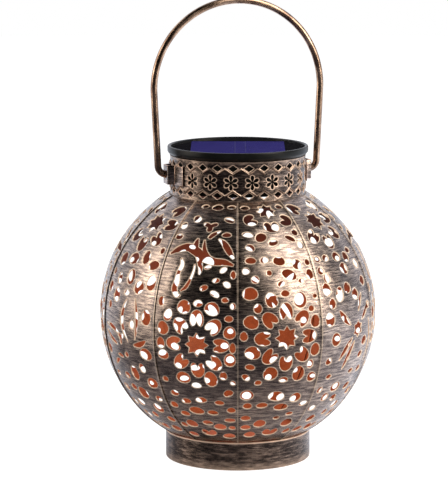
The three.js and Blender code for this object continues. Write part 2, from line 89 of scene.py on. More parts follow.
def shade(mesh, sharp):
    """Smooth shading, with edges sharp above an angle."""
    mesh.shade_smooth()
    mesh.set_sharp_from_angle(angle=math.radians(sharp))


def new_object(name, verts, faces, materials, face_material=None, sharp=35):
    """A mesh object from points in millimetres."""
    mesh = bpy.data.meshes.new(name)
    mesh.from_pydata([tuple(c * MM for c in v) for v in verts], [], faces)
    for material in materials:
        mesh.materials.append(material)
    if face_material is not None:
        mesh.polygons.foreach_set("material_index", face_material)
    shade(mesh, sharp)
    mesh.update()
    return in_scene(name, mesh)


def settle(obj, body, slot, *nodes):
    """Ties a finished piece to its body and hides the CAD nodes that it stands for. The slot is not used."""
    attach(obj, body)
    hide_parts(*nodes)


def apply_modifiers(obj):
    bpy.context.view_layer.update()
    seen = obj.evaluated_get(bpy.context.evaluated_depsgraph_get())
    made = bpy.data.meshes.new_from_object(seen)
    obj.modifiers.clear()
    obj.data = made


def round_corners(profile, radius, steps=4):
    """A closed outline with every corner rounded by an arc-like curve of the given radius."""
    made = []
    count = len(profile)
    for i, corner in enumerate(profile):
        here = Vector(corner)
        before = Vector(profile[i - 1]) - here
        after = Vector(profile[(i + 1) % count]) - here
        cut = min(radius, 0.45 * before.length, 0.45 * after.length)
        start = here + before.normalized() * cut
        end = here + after.normalized() * cut
        for s in range(steps + 1):
            t = s / steps
            made.append((1 - t) ** 2 * start + 2 * t * (1 - t) * here + t ** 2 * end)
    return [(p.x, p.y) for p in made]


def lathe(name, profile, material, segments=128):
    """A closed outline of (radius, height) points turned about the lantern's axis."""
    verts, faces = [], []
    count = len(profile)
    for s in range(segments):
        turn = 2 * math.pi * s / segments
        c, k = math.cos(turn), math.sin(turn)
        verts += [(r * c, r * k, z) for r, z in profile]
    for s in range(segments):
        a, b = s * count, ((s + 1) % segments) * count
        for i in range(count):
            j = (i + 1) % count
            faces.append((a + i, b + i, b + j, a + j))
    obj = new_object(name, verts, faces, [material])
    weld(obj)
    return obj


def weld(obj, sharp=35):
    """Merges coincident points, drops collapsed faces and turns the rest to face out."""
    bm = bmesh.new()
    bm.from_mesh(obj.data)
    bmesh.ops.remove_doubles(bm, verts=bm.verts, dist=1e-7)
    bmesh.ops.dissolve_degenerate(bm, edges=bm.edges, dist=1e-8)
    bmesh.ops.recalc_face_normals(bm, faces=bm.faces)
    bm.to_mesh(obj.data)
    bm.free()
    shade(obj.data, sharp)


def sweep(name, path, radii, material, sides):
    """A round bar along a list of points, closed at both ends. radii is one radius per point."""
    points = [Vector(p) for p in path]
    verts, faces = [], []
    up = Vector((0, 1, 0))
    count = len(points)
    for i, p in enumerate(points):
        ahead = (points[min(i + 1, count - 1)] - points[max(i - 1, 0)]).normalized()
        side = ahead.cross(up)
        if side.length < 1e-3:
            side = ahead.cross(Vector((1, 0, 0)))
        side.normalize()
        other = side.cross(ahead).normalized()
        up = other
        for k in range(sides):
            turn = 2 * math.pi * k / sides
            verts.append(p + radii[i] * (math.cos(turn) * side + math.sin(turn) * other))
    for i in range(count - 1):
        for k in range(sides):
            a, b = i * sides + k, i * sides + (k + 1) % sides
            faces.append((a, b, b + sides, a + sides))
    faces.append(tuple(range(sides))[::-1])
    faces.append(tuple((count - 1) * sides + k for k in range(sides)))
    obj = new_object(name, verts, faces, [material])
    weld(obj, 50)
    return obj


def slab(name, outline, low, high, materials, bevel=0.0):
    """A flat outline raised from one height to another, with its edges broken by the bevel."""
    count = len(outline)
    verts = [(x, y, low) for x, y in outline] + [(x, y, high) for x, y in outline]
    faces = [tuple(range(count))[::-1], tuple(range(count, 2 * count))]
    faces += [(i, (i + 1) % count, count + (i + 1) % count, count + i) for i in range(count)]
    obj = new_object(name, verts, faces, materials)
    if bevel:
        soften(obj, bevel)
    return obj


def soften(obj, width, material_index=-1):
    """Breaks the edges. The new faces take the given material, or their neighbours' where it is -1."""
    mod = obj.modifiers.new("soften", "BEVEL")
    mod.width = width * MM
    mod.segments = 2
    mod.limit_method = "ANGLE"
    mod.angle_limit = math.radians(40)
    mod.material = material_index
    apply_modifiers(obj)
    shade(obj.data, 50)


def box_outline(x0, y0, x1, y1):
    return [(x0, y0), (x1, y0), (x1, y1), (x0, y1)]


def circle(radius, count, x=0.0, y=0.0):
    turns = [2 * math.pi * i / count for i in range(count)]
    return [(x + radius * math.cos(t), y + radius * math.sin(t)) for t in turns]


# ---------- pierced sheet metal ----------

CUT_ROUNDING = 0.1       # how far the sheet's face falls away at a cut


def anticlockwise(loop):
    area = sum(a[0] * b[1] - b[0] * a[1] for a, b in zip(loop, loop[1:] + loop[:1]))
    return loop if area > 0 else loop[::-1]


def grown(loop, distance):
    """An anticlockwise outline moved outwards along its own normals."""
    made = []
    count = len(loop)
    for i, (x, y) in enumerate(loop):
        (ax, ay), (bx, by) = loop[i - 1], loop[(i + 1) % count]
        nx, ny = by - ay, ax - bx
        length = math.hypot(nx, ny) or 1.0
        made.append((x + distance * nx / length, y + distance * ny / length))
    return made


def distance_to_loops(points, loops, closed=True):
    """How far each point is from the nearest of some outlines."""
    starts, ends = [], []
    for loop in loops:
        tail = loop[1:] + loop[:1] if closed else loop[1:]
        head = loop if closed else loop[:-1]
        starts += head
        ends += tail
    a = np.array(starts)
    d = np.array(ends) - a
    span = np.maximum((d ** 2).sum(1), 1e-12)
    best = np.full(len(points), 1e9)
    for first in range(0, len(points), 400):
        p = points[first:first + 400, None, :]
        along = np.clip(((p - a) * d).sum(2) / span, 0, 1)
        gap = np.linalg.norm(p - (a + along[..., None] * d), axis=2)
        best[first:first + 400] = gap.min(1)
    return best


def pierced(outline, holes, guides, pitch, rim):
    """Fills an outline with triangles round its holes. Returns the points, the triangles and each point's
    distance from the nearest cut. Each hole gets a second loop, rim outside it, for its worn edge."""
    holes = [anticlockwise(h) for h in holes]
    outline = anticlockwise(outline)
    points, edges, faces = [], [], []

    def add_loop(loop, as_face):
        first = len(points)
        points.extend(Vector(p) for p in loop)
        ids = list(range(first, len(points)))
        if as_face:
            faces.append(ids)
        else:
            edges.extend(zip(ids, ids[1:] + ids[:1]))

    add_loop(outline, True)
    for hole in holes:
        add_loop(hole, True)
    for hole in holes:
        add_loop(grown(hole, rim), False)
    for line in guides:
        first = len(points)
        points.extend(Vector(p) for p in line)
        edges.extend((i, i + 1) for i in range(first, len(points) - 1))

    low = np.min(outline, axis=0)
    high = np.max(outline, axis=0)
    rows = np.arange(low[1] + pitch / 2, high[1], pitch * 0.87)
    grid = [(x + pitch / 2 * (i % 2), y) for i, y in enumerate(rows)
            for x in np.arange(low[0] + pitch / 3, high[0], pitch)]
    grid = np.array(grid)
    clear = distance_to_loops(grid, holes + [outline]) > rim + 0.35 * pitch
    points.extend(Vector(p) for p in grid[clear])

    out = delaunay_2d_cdt(points, edges, faces, 0, 1e-5, True)
    flat = np.array([tuple(p) for p in out[0]])
    kept = [f for f, owners in zip(out[2], out[5]) if 0 in owners and max(owners) == 0]
    return flat, kept, distance_to_loops(flat, holes)


def largest_sheet(triangles):
    """Leaves out any island that the holes cut off from the sheet."""
    parent = {}

    def find(i):
        while parent.setdefault(i, i) != i:
            parent[i] = parent[parent[i]]
            i = parent[i]
        return i

    for a, b, c in triangles:
        parent[find(a)] = find(b)
        parent[find(b)] = find(c)
    sizes = {}
    for a, _, _ in triangles:
        sizes[find(a)] = sizes.get(find(a), 0) + 1
    main = max(sizes, key=sizes.get)
    return [t for t in triangles if find(t[0]) == main]


def sheet_mesh(filled, place, relief, rim, thickness, worn=None, shadow_at=None):
    """Bends a filled outline into a sheet with two skins and walls between them.
    place(x, y, out) gives the 3-D point, and relief(x, y) how far the sheet is raised there.
    Returns the points, the faces, each face's material (0 outside and on cut walls, 1 inside), and each
    point's wear and painted seam shadow."""
    flat, triangles, cut_distance = filled
    keys, index = {}, []
    for x, y in flat:
        spot = tuple(np.round(place(x, y, 0.0), 5))
        index.append(keys.setdefault(spot, len(keys)))
    triangles = [tuple(index[i] for i in t) for t in triangles]
    triangles = largest_sheet([t for t in triangles if len(set(t)) == 3])
    count = len(keys)
    top, under = [None] * count, [None] * count
    wear, seam_shadow = [0.0] * (2 * count), [0.0] * (2 * count)
    for i, (x, y) in enumerate(flat):
        n = index[i]
        raised = relief(x, y)
        near = max(0.0, 1 - cut_distance[i] / rim)
        top[n] = place(x, y, raised - CUT_ROUNDING * near * near)
        under[n] = place(x, y, raised - thickness)
        wear[n] = max(near, worn(x, y) if worn else 0.0)
        seam_shadow[n] = shadow_at(x, y) if shadow_at else 0.0
        wear[count + n] = 1.0 if cut_distance[i] < 1e-3 else 0.0
    faces = list(triangles) + [(c + count, b + count, a + count) for a, b, c in triangles]
    sides = [0] * len(triangles) + [1] * len(triangles)
    directed = {(t[i], t[(i + 1) % 3]) for t in triangles for i in range(3)}
    for a, b in sorted(directed):
        if (b, a) not in directed:
            faces.append((a, a + count, b + count, b))
            sides.append(0)
    return top + under, faces, sides, wear, seam_shadow


def sheet_object(name, made, materials, turn=0.0):
    """A sheet as an object, turned about the lantern's axis, with its wear and its painted seam shadow as
    attributes.
    """
    verts, faces, sides, wear, seam_shadow = made
    c, s = math.cos(turn), math.sin(turn)
    verts = [(x * c - y * s, x * s + y * c, z) for x, y, z in verts]
    obj = new_object(name, verts, faces, materials, sides, sharp=40)
    for label, values in (("worn", wear), ("shade", seam_shadow)):
        layer = obj.data.attributes.new(label, "FLOAT", "POINT")
        layer.data.foreach_set("value", values)
    bm = bmesh.new()
    bm.from_mesh(obj.data)
    loose = [v for v in bm.verts if not v.link_faces]
    bmesh.ops.delete(bm, geom=loose, context="VERTS")
    bm.to_mesh(obj.data)
    bm.free()
    return obj


# ---------- hole outlines ----------
# Each is a list of points in millimetres round its own middle, x to the right and y up, seen from outside.

def ring_points(radius_at, count):
    """Points round a middle, each as far out as radius_at gives for its turn from straight up."""
    made = []
    for i in range(count):
        t = 2 * math.pi * i / count
        r = radius_at(t)
        made.append((r * math.sin(t), r * math.cos(t)))
    return made


def turned_outline(points, turn):
    c, s = math.cos(turn), math.sin(turn)
    return [(x * c + y * s, y * c - x * s) for x, y in points]


EGG_TAPER = 0.12
NOTCH_HALF = 0.42        # half width of a petal's notch, as a turn
NOTCH_DEPTH = 0.96       # as a share of the petal's radius


def egg(width, height):
    """An oval a little fuller at its lower end."""
    return [(0.5 * width * x * (1 - EGG_TAPER * y), 0.5 * height * y)
            for x, y in ring_points(lambda t: 1.0, 14)]


def lobed_star(outer, inner, lobes):
    """A star with pointed tips and straight sides."""
    half = math.pi / lobes

    def radius(t):
        away = abs((t + half) % (2 * half) - half)
        slant = math.atan2(inner * math.sin(half), outer - inner * math.cos(half))
        return outer * math.sin(slant) / math.sin(slant + away)
    return ring_points(radius, 6 * lobes)


def notched_petal(width, height):
    """A round petal with a deep notch in its lower end."""
    def radius(t):
        oval = 1 / math.hypot(math.sin(t) / (0.5 * width), math.cos(t) / (0.5 * height))
        from_notch = (t - math.pi) / NOTCH_HALF
        return oval * (1.04 - NOTCH_DEPTH * math.exp(-from_notch * from_notch))
    return ring_points(radius, 30)


def bird(width, height):
    """Two wings and a tail."""
    def radius(t):
        return 0.34 + 0.16 * math.cos(3 * t - math.pi)
    return [(x * width, y * height) for x, y in ring_points(radius, 24)]


def slit(dx, dy, width, bow):
    """A leaf-shaped slit from (-dx/2, -dy/2) to (dx/2, dy/2), bowed to its left."""
    length = math.hypot(dx, dy)
    ax, ay = dx / length, dy / length
    steps = max(6, int(length / 1.3))
    left, right = [], []
    for i in range(steps + 1):
        s = i / steps
        middle = bow * math.sin(math.pi * s)
        half = 0.5 * width * (0.12 + 0.88 * math.sin(math.pi * s) ** 0.75)
        for side, row in ((1, left), (-1, right)):
            along, across = (s - 0.5) * length, middle + side * half
            row.append((along * ax - across * ay, along * ay + across * ax))
    return left + right[::-1]


def ribbon(spine):
    """A slit along a smooth line through (x, y, width) points, running out to a point at both ends."""
    points = [Vector(p) for p in spine]
    points = [2 * points[0] - points[1]] + points + [2 * points[-1] - points[-2]]
    smooth = []
    for a, b, c, d in zip(points, points[1:], points[2:], points[3:]):
        for k in range(5):
            t = k / 5
            smooth.append(0.5 * (2 * b + (c - a) * t + (2 * a - 5 * b + 4 * c - d) * t * t
                                 + (3 * b - a - 3 * c + d) * t * t * t))
    smooth.append(points[-2])
    left, right = [], []
    for i, p in enumerate(smooth):
        ahead = smooth[min(i + 1, len(smooth) - 1)] - smooth[max(i - 1, 0)]
        length = math.hypot(ahead.x, ahead.y)
        nx, ny = -ahead.y / length, ahead.x / length
        half = max(0.12, p.z / 2)
        left.append((p.x + nx * half, p.y + ny * half))
        right.append((p.x - nx * half, p.y - ny * half))
    return left + right[::-1]


# ---------- the globe's pattern ----------
# Places are in degrees on one gore: u to the right of its middle line, v the latitude. Widths are in degrees
# of longitude and heights in degrees of latitude.

def at(u, v, outline):
    """Puts an outline on the gore's flat pattern, where x is u shortened by the latitude."""
    made = []
    for dx, dy in outline:
        lat = v + dy / DEG_MM
        lon = u + dx / (DEG_MM * math.cos(math.radians(v)))
        made.append((lon * math.cos(math.radians(lat)) * DEG_MM, lat * DEG_MM))
    return made


HOLE_SCALE = 1.1         # ovals and petals are cut this much larger than listed
STAR_OUTER, STAR_INNER = 6.8, 4.5
PETAL_W, PETAL_H = 4.9, 6.9
PETALS_OUT_U, PETALS_OUT_V = 9.4, 10.1   # from a rosette's middle to its petals


def eggs(places):
    """Ovals from (u, v, width, height) rows, with a tilt in degrees where one is given."""
    made = []
    for u, v, width, height, *tilt in places:
        across = HOLE_SCALE * width * DEG_MM * math.cos(math.radians(v))
        shape = turned_outline(egg(across, HOLE_SCALE * height * DEG_MM), -math.radians(sum(tilt)))
        made.append(at(u, v, shape))
    return made


def petals(places):
    """Notched petals from (u, v, width, height, turn) rows; a turn of 0 has the notch at the bottom."""
    made = []
    for u, v, width, height, turn in places:
        shape = notched_petal(HOLE_SCALE * width * DEG_MM, HOLE_SCALE * height * DEG_MM)
        made.append(at(u, v, turned_outline(shape, math.radians(turn))))
    return made


def slits(places):
    """Leaf slits from (u, v) to (u, v), with a width and a bow in degrees."""
    made = []
    for u0, v0, u1, v1, width, bow in places:
        v = (v0 + v1) / 2
        dx = (u1 - u0) * DEG_MM * math.cos(math.radians(v))
        dy = (v1 - v0) * DEG_MM
        made.append(at((u0 + u1) / 2, v, slit(dx, dy, width * DEG_MM, bow * DEG_MM)))
    return made


def ribbons(spines):
    """Ribbon slits from lists of (u, v, width in degrees)."""
    made = []
    for spine in spines:
        v = sum(p[1] for p in spine) / len(spine)
        u = sum(p[0] for p in spine) / len(spine)
        shrink = math.cos(math.radians(v))
        local = [((a - u) * DEG_MM * shrink, (b - v) * DEG_MM, w * DEG_MM) for a, b, w in spine]
        made.append(at(u, v, ribbon(local)))
    return made


def rosette(u, v, skip=()):
    """An eight-pointed star in a ring of eight notched petals, less those to skip."""
    made = [at(u, v, lobed_star(STAR_OUTER, STAR_INNER, 8))]
    rows = []
    for i in range(8):
        if i in skip:
            continue
        turn = 45 * i
        lat = v + PETALS_OUT_V * math.cos(math.radians(turn))
        lon = u + PETALS_OUT_U * math.sin(math.radians(turn)) / math.cos(math.radians(lat))
        rows.append((lon, lat, PETAL_W, PETAL_H, turn))
    return made + petals(rows)


def gore_with_wings():
    """A rosette on the equator, with a winged palmette above it."""
    return (
        rosette(1.3, -3.5)
        + eggs([
            (-4.5, 11.5, 5.2, 5), (7.5, 11.2, 5.6, 4.8, -20), (-11.5, 7.8, 3.4, 4.6, -20),
            (-13.6, 2.4, 4.6, 5, 20), (15.2, 1.8, 4.4, 4.6), (-14.8, -3.8, 3.4, 4.2),
            (-13.8, -8.6, 4.6, 3.6), (15.4, -9.4, 4.2, 5), (-5.6, -18, 5.8, 4.8), (6.6, -18, 5, 6.2, 12),
            (1.5, 13.2, 3.4, 2.4), (14.4, 7.4, 3, 2.2), (16, -4.4, 2.2, 3.8), (12, -16.4, 2.8, 3.4),
            (0, -21.2, 4, 2.4), (-14.5, -19.5, 2.6, 2.2), (16.2, -19.6, 2, 1.8), (-15.2, 13, 2.6, 3.4),
            (3.5, 19.5, 3.2, 1.9, 25), (8.4, 17.2, 3.8, 1.9, -30), (12.8, 14.8, 2.6, 1.7),
            (13.4, 21, 3.2, 2, -40), (8.6, 22.6, 2.8, 1.6, 10), (11.6, 27, 3.2, 1.8, 40),
            (4.4, 28, 3, 1.5, 20), (16.2, 12.4, 2, 2.2), (16, 25, 2, 3)])
        + ribbons([
            [(-16, 32.6, 0.8), (-12.5, 34.8, 2.6), (-7.5, 36.2, 3.4), (-2.6, 34.6, 3.8), (2.2, 31.8, 3.4),
             (7.2, 30.4, 3), (12, 30.2, 2.4), (16, 29, 0.8)],
            [(-1.4, 33.6, 2.4), (0, 30.4, 2), (1, 27.4, 1.7), (0.8, 24.8, 0.6)],
            [(-3.4, 35.4, 2.4), (-3.6, 38.4, 2), (-3.2, 40.4, 0.6)],
            [(0.6, 39.8, 0.5), (1, 37, 1.4), (2, 34.4, 1.8), (4, 32, 2)],
            [(8, 40.6, 0.5), (11.2, 38.4, 2.2), (13.6, 35.2, 2.4), (16, 31.8, 0.8)],
            [(-9.4, 31, 0.6), (-8.2, 28.4, 1.8), (-9.2, 25, 1.5), (-9.2, 21.6, 2.3), (-9.8, 18.4, 2.3),
             (-8.4, 16, 1.8), (-6.6, 15.8, 0.5)],
            [(-6.8, 17.6, 0.4), (-4.6, 19.4, 1.4), (-3, 22.6, 1), (-2, 26.4, 0.8), (-2, 29, 0.4)],
            [(2.6, 40.8, 1.4), (4.6, 42.6, 1.8), (8.4, 44.4, 0.5)]])
        + eggs([
            (-15, 40.6, 4, 2.4), (-14.6, 46, 3.6, 3), (3.2, 57, 7.6, 3), (-8, 50, 4.4, 3.6, 40),
            (13, 50, 6, 2.4, -25), (-7, 57.4, 5, 2, 10), (14, 57.4, 5.4, 2), (12, 42.5, 4.6, 2)])
        + [at(1.8, 46.6, bird(9.5, 8))]
        + eggs([
            (-11.5, -26, 3.6, 2.6), (-6.5, -29.6, 4.2, 2.6), (1, -28.5, 5, 2.6, 5), (9.5, -29.6, 4, 2.2),
            (13.8, -24.6, 4, 2.8, 30), (-14, -32.4, 4, 3), (-2.5, -34.6, 7, 3.8, -10), (5.6, -35.4, 5, 2.5),
            (15, -33.6, 3.8, 2.8), (-9.5, -37, 4.6, 2.8), (14.2, -39.8, 5.4, 2.4), (-8.6, -43.6, 6.4, 4.8),
            (1.5, -42, 5.4, 2.8), (8, -44.6, 6.4, 4), (14.8, -45.2, 3.4, 2.6), (-14.4, -45, 4, 3),
            (-13, -52.6, 6.4, 3.8), (12.4, -52.2, 7.4, 4.4)])
        + petals([(0, -49.4, 5.4, 5.4, 180)])
    )


def gore_with_ovals():
    """A rosette on the equator, with ovals above it and half a rosette under the neck."""
    return (
        rosette(2, -0.8)
        + [at(2, 54.6, lobed_star(5.6, 3.8, 8))]
        + petals([(2, 46.4, 5.6, 5.2, 180), (-10, 50, 5.4, 5, 250), (13.4, 49, 5.2, 5, 110)])
        + eggs([
            (-12.6, 6, 5.6, 4.8, -20), (-12, -6.4, 5.8, 4.8, -15), (-12.8, 17.4, 5.8, 4.6),
            (-4, 14.6, 4.6, 5.6, 20), (8.6, 14, 5.2, 5.8, -10), (15.4, 5, 4, 4.6), (15.4, -6.6, 4, 4.8),
            (-4.4, -15.6, 5.6, 5.4, 15), (8.2, -16.4, 5, 6), (15.2, -18.6, 3.8, 4, 20),
            (-15.6, 0.4, 2.8, 3.4), (-9.8, 11.4, 3, 3.4), (2.2, 17, 3.4, 2.4), (13.2, -12.6, 2.6, 3.4),
            (1.6, -18.6, 3.6, 2.2), (-13, -12.5, 3.6, 2.2, -10), (-14.6, -17, 3.4, 2.2, -40),
            (-9.4, -19.6, 2.8, 2), (15.8, 15, 2, 1.6), (13.4, 10.2, 2.4, 2.2), (10.4, 21.6, 2.6, 1.6),
            (1, 21, 3.2, 1.9, 20), (5.2, 24.5, 6.4, 3.8, -25), (10, 28.5, 4.2, 4),
            (1.4, 30.4, 5.2, 3.6, -10), (-5.6, 31.1, 3.6, 2.4, 20), (-12, 31, 4.6, 2.5),
            (-11.8, 36.6, 4.2, 2.6, -20), (-10.4, 23, 3, 2.8, -30), (-14.4, 26.6, 3, 2.4, 30),
            (15.4, 24, 3.2, 3.8), (15.6, 29, 2.4, 2.4), (15.2, 36.6, 3, 3.2), (0.5, 38.6, 4.8, 2.4, 20),
            (-5.6, 41.2, 6, 3.6, 30), (-12.6, 42.6, 5.4, 2.2, -15), (10.6, 40, 5.6, 2, -35),
            (-4, 25.6, 2.2, 2), (14.6, 42.6, 3.4, 2.8), (-12.8, 57, 6, 2.2), (14, 56.8, 5, 2.4),
            (-14, -25.5, 5.4, 4.6), (-0.4, -26.6, 7, 4.4, -10), (9.2, -28, 5, 4.2),
            (-13.5, -31.2, 3.8, 2.8), (-6.6, -31, 5, 2.6), (3, -32.6, 6.6, 3.4, -5),
            (14.8, -31.8, 4, 2.2, 10), (9, -37, 3.6, 1.8), (-14, -38.4, 4.6, 3), (-6, -42.4, 6.2, 4.8),
            (-13.6, -44.8, 5.2, 3.2), (10, -43, 6.2, 4.8), (2.4, -39, 3, 2), (14.8, -50, 4.6, 3.6),
            (-10.4, -51, 6.8, 4.4)])
        + petals([(2.2, -49, 5.6, 5.6, 180)])
    )


def gore_with_loops():
    """A rosette high under the neck, and a butterfly with looped wings on the equator."""
    return (
        rosette(-1.5, 45.5, skip=(0,))
        + eggs([
            (-2, 28.2, 6.8, 4.6, 5), (-11, 27, 5.6, 5, -20), (6.5, 29.6, 4.2, 5.4),
            (12.6, 26.8, 5.8, 3.6, 15), (0.6, 20.6, 4.6, 5.8), (-7.6, 19, 3.2, 4.2, 20),
            (7.4, 17, 5.4, 4.8, 20), (14, 19.6, 4.6, 5.8), (-14.6, 14.6, 3.8, 4), (-7.2, 12, 4.6, 5.2),
            (0.2, 14, 3.2, 2.2, 10), (13.6, 5.4, 4.6, 5.8), (-14.8, 21, 2.6, 2.6), (-12.2, 7.4, 2.6, 2.8),
            (14.8, 33.4, 2.6, 2.4)])
        + slits([
            (1.4, 11.4, 2.6, -5.8, 2.2, -3.2), (6.6, 12.4, 7.4, -4.6, 1.6, 1.4),
            (-14.6, -0.6, -3.4, -3.4, 1.8, 0.5), (-15, -3.4, -5.2, -8.4, 1.8, -0.4),
            (6, -7, 13.6, -4.2, 2.2, -0.6), (-6.4, -12.6, -2.2, -13.2, 1.6, 0.2),
            (-10.6, -17.4, -6.2, -14.6, 1.8, 0.3)])
        + [at(-2.4, -5, bird(6.5, 8))]
        + eggs([
            (5.6, 1.6, 2.6, 3), (13, -9.8, 6, 4.4, -10), (9.4, -16.4, 3, 3.8, 20),
            (3.6, -19.4, 4.4, 5.8, 10), (-3.4, -21.6, 4, 2.8, 10), (13.2, -22.8, 5.6, 4.4, 20),
            (-14.6, -11.4, 3.8, 3.8), (-12.4, -22, 3.2, 2, 20), (0.4, -11.8, 2.4, 2), (-2, -27, 4, 2.8, 10),
            (4, -29, 6.2, 5.4, 20), (-10.4, -28.4, 5, 3), (9.6, -36.4, 6, 4.8), (-4, -35.4, 5.8, 3.4, 10),
            (13.8, -30.4, 3.4, 2.6), (-12.4, -36.4, 5, 3.4), (2, -41.6, 4.6, 3), (-8, -43, 6, 4.4),
            (14, -42.6, 5, 3.2), (11.6, -49.6, 6.8, 4.4), (-13, -50.6, 6.4, 4)])
        + petals([(-0.6, -49.4, 5.4, 5.4, 180)])
    )


def gore_with_leaves():
    """A rosette high under the neck, and long leaves round a bud on the equator."""
    return (
        rosette(-1.2, 47, skip=(0,))
        + eggs([
            (-1.4, 29.4, 4.6, 3.6, -10), (-9, 29.6, 3.4, 2.6), (-14.4, 29.6, 3.2, 2.4),
            (6, 28.4, 4.4, 4, 20), (1.2, 24, 5.4, 4.2, -20), (-14.4, 24.6, 3, 2.8), (-12, 21.2, 3.2, 3.4),
            (-13.4, 16.8, 4, 4.8, 15), (-6.4, 14, 4.2, 5.6, -15), (-11.4, 10.8, 3.2, 3.8),
            (-0.6, 16, 4.2, 4), (4.4, 12.8, 4.4, 4.2), (-13.4, 4.6, 4.4, 5.2, 15), (13, 24.4, 4.8, 3.4),
            (13.6, 17, 4.4, 3.6), (10.8, 30.8, 4, 2.2), (14.6, 6.8, 3.4, 3)])
        + slits([
            (-7.6, 7.4, -1, 0.8, 2.6, -0.5), (-7, -13.4, 0.6, -4.6, 2.2, 0.3),
            (-3.6, -17.8, 2.6, -6.4, 2.2, 0.3), (5, 5.6, 9.4, 12.4, 1.8, 0.3),
            (7.6, 1.8, 14.6, 8, 1.9, -0.6), (14.6, 1.6, 15.4, -17, 1.5, 1.2)])
        + [at(4.6, -1.6, lobed_star(5, 3.4, 6))]
        + eggs([
            (-10, -4, 4.4, 5, 10), (-13, -13, 3, 2.6), (-11, -20, 2.8, 2), (11, -7.4, 4, 3.4),
            (9, -13, 3.2, 2.4, 20), (4, -19.6, 3.4, 1.9), (12, -20, 3.8, 2.6), (-3.8, -26, 5.8, 4.2, -10),
            (-8.6, -30.4, 4, 3.8, 20), (-1, -32, 4.4, 3, -20), (6, -27, 4.6, 3, 10), (12.4, -30.6, 5, 3.4),
            (-14, -26, 2.8, 2.8), (-13.8, -35.6, 4, 2.6), (5.4, -36.8, 5.2, 3.2), (0.2, -40.4, 3.6, 2.8),
            (-9, -42.8, 5.4, 4), (10.8, -43, 6, 4.6), (-12.8, -50, 6.4, 4), (12, -50.4, 6, 3.8)])
        + petals([(-1.4, -49.4, 5.6, 5.4, 180)])
    )


# ---------- effects shared by the finishes ----------

def connect(tree, made, inputs):
    """Gives a node its inputs. Each is a value, or another node's output socket."""
    for key, value in inputs.items():
        if isinstance(value, bpy.types.NodeSocket):
            tree.links.new(value, made.inputs[key])
        else:
            made.inputs[key].default_value = value


def node(tree, kind, inputs=None, **settings):
    made = tree.nodes.new("ShaderNode" + kind)
    for key, value in settings.items():
        setattr(made, key, value)
    connect(tree, made, inputs or {})
    return made


def calc(tree, operation, *values):
    """The result of a Math node."""
    return node(tree, "Math", dict(enumerate(values)), operation=operation).outputs[0]


def spread(tree, value, low, high, to_low=0.0, to_high=1.0, **settings):
    """A value between low and high, spread between two others and held at their ends."""
    sockets = {"Value": value, "From Min": low, "From Max": high, "To Min": to_low, "To Max": to_high}
    return node(tree, "MapRange", sockets, **settings).outputs[0]


def mix(tree, factor, a, b):
    """Colour a passing into colour b."""
    a, b = (c if isinstance(c, bpy.types.NodeSocket) else (*c, 1) for c in (a, b))
    return node(tree, "Mix", {0: factor, 6: a, 7: b}, data_type="RGBA").outputs[2]


def group_tree(name, inputs, outputs):
    tree = bpy.data.node_groups.new(name, "ShaderNodeTree")
    for label, value in inputs.items():
        socket = tree.interface.new_socket(label, in_out="INPUT", socket_type="NodeSocketFloat")
        socket.default_value = value
    for label in outputs:
        tree.interface.new_socket(label, in_out="OUTPUT", socket_type="NodeSocketFloat")
    return tree, tree.nodes.new("NodeGroupInput"), tree.nodes.new("NodeGroupOutput")


BROAD_SHARE = 0.16       # how closely the broad bands follow each other, beside the fine marks
SPECKS_PER_PATCH = 22    # how much finer the specks are than the patches


def brushing_group():
    """Brush marks that run round the piece. Fine is marks per metre up the piece, Long along it."""
    tree, given, result = group_tree("brush_marks", {"Fine": 2600, "Long": 34}, ["Marks", "Broad"])
    tree.interface.new_socket("Place", in_out="INPUT", socket_type="NodeSocketVector")
    parts = node(tree, "SeparateXYZ", {0: given.outputs["Place"]})
    x, y, z = (calc(tree, "MULTIPLY", parts.outputs[i], given.outputs[rate])
               for i, rate in enumerate(("Long", "Long", "Fine")))

    def streaks(up, detail, roughness):
        place = node(tree, "CombineXYZ", {0: x, 1: y, 2: up}).outputs[0]
        noise = node(tree, "TexNoise", {"Vector": place, "Scale": 1.0, "Detail": detail,
                                        "Roughness": roughness})
        return spread(tree, noise.outputs[0], 0.33, 0.67)

    broad_z = calc(tree, "MULTIPLY", z, BROAD_SHARE)
    connect(tree, result, {"Marks": streaks(z, 4.0, 0.62), "Broad": streaks(broad_z, 3.0, 0.55)})
    return tree


def patina_group():
    """Dark patina left in patches. Amount moves the balance from bare metal to patina."""
    tree, given, result = group_tree("patina_patches", {"Scale": 55, "Amount": 0.5}, ["Patina", "Speckle"])
    place = node(tree, "TexCoord").outputs["Object"]
    patches = node(tree, "TexNoise", {"Vector": place, "Scale": given.outputs["Scale"], "Detail": 5.0,
                                      "Roughness": 0.6, "Distortion": 0.4})
    low = calc(tree, "SUBTRACT", 0.88, given.outputs["Amount"])
    high = calc(tree, "ADD", low, 0.24)
    fine = calc(tree, "MULTIPLY", given.outputs["Scale"], SPECKS_PER_PATCH)
    specks = node(tree, "TexNoise", {"Vector": place, "Scale": fine, "Detail": 3.0})
    connect(tree, result, {"Patina": spread(tree, patches.outputs[0], low, high),
                           "Speckle": spread(tree, specks.outputs[0], 0.52, 0.72)})
    return tree


GROUPS = {"brush": brushing_group(), "patina": patina_group()}


def placed(tree, group, **values):
    """The outputs of an effect group, placed with its own values."""
    return node(tree, "Group", values, node_tree=GROUPS[group]).outputs


# ---------- finishes ----------

def new_material(name, **values):
    material = bpy.data.materials.new(name)
    material.use_nodes = True
    shader = material.node_tree.nodes["Principled BSDF"]
    for key, value in values.items():
        shader.inputs[key.replace("_", " ")].default_value = value
    return material, material.node_tree, shader


# Colour of the painted shadow in the gap beside each gore's lip.
SEAM_SHADOW_COLOR = (0.012, 0.01, 0.012)


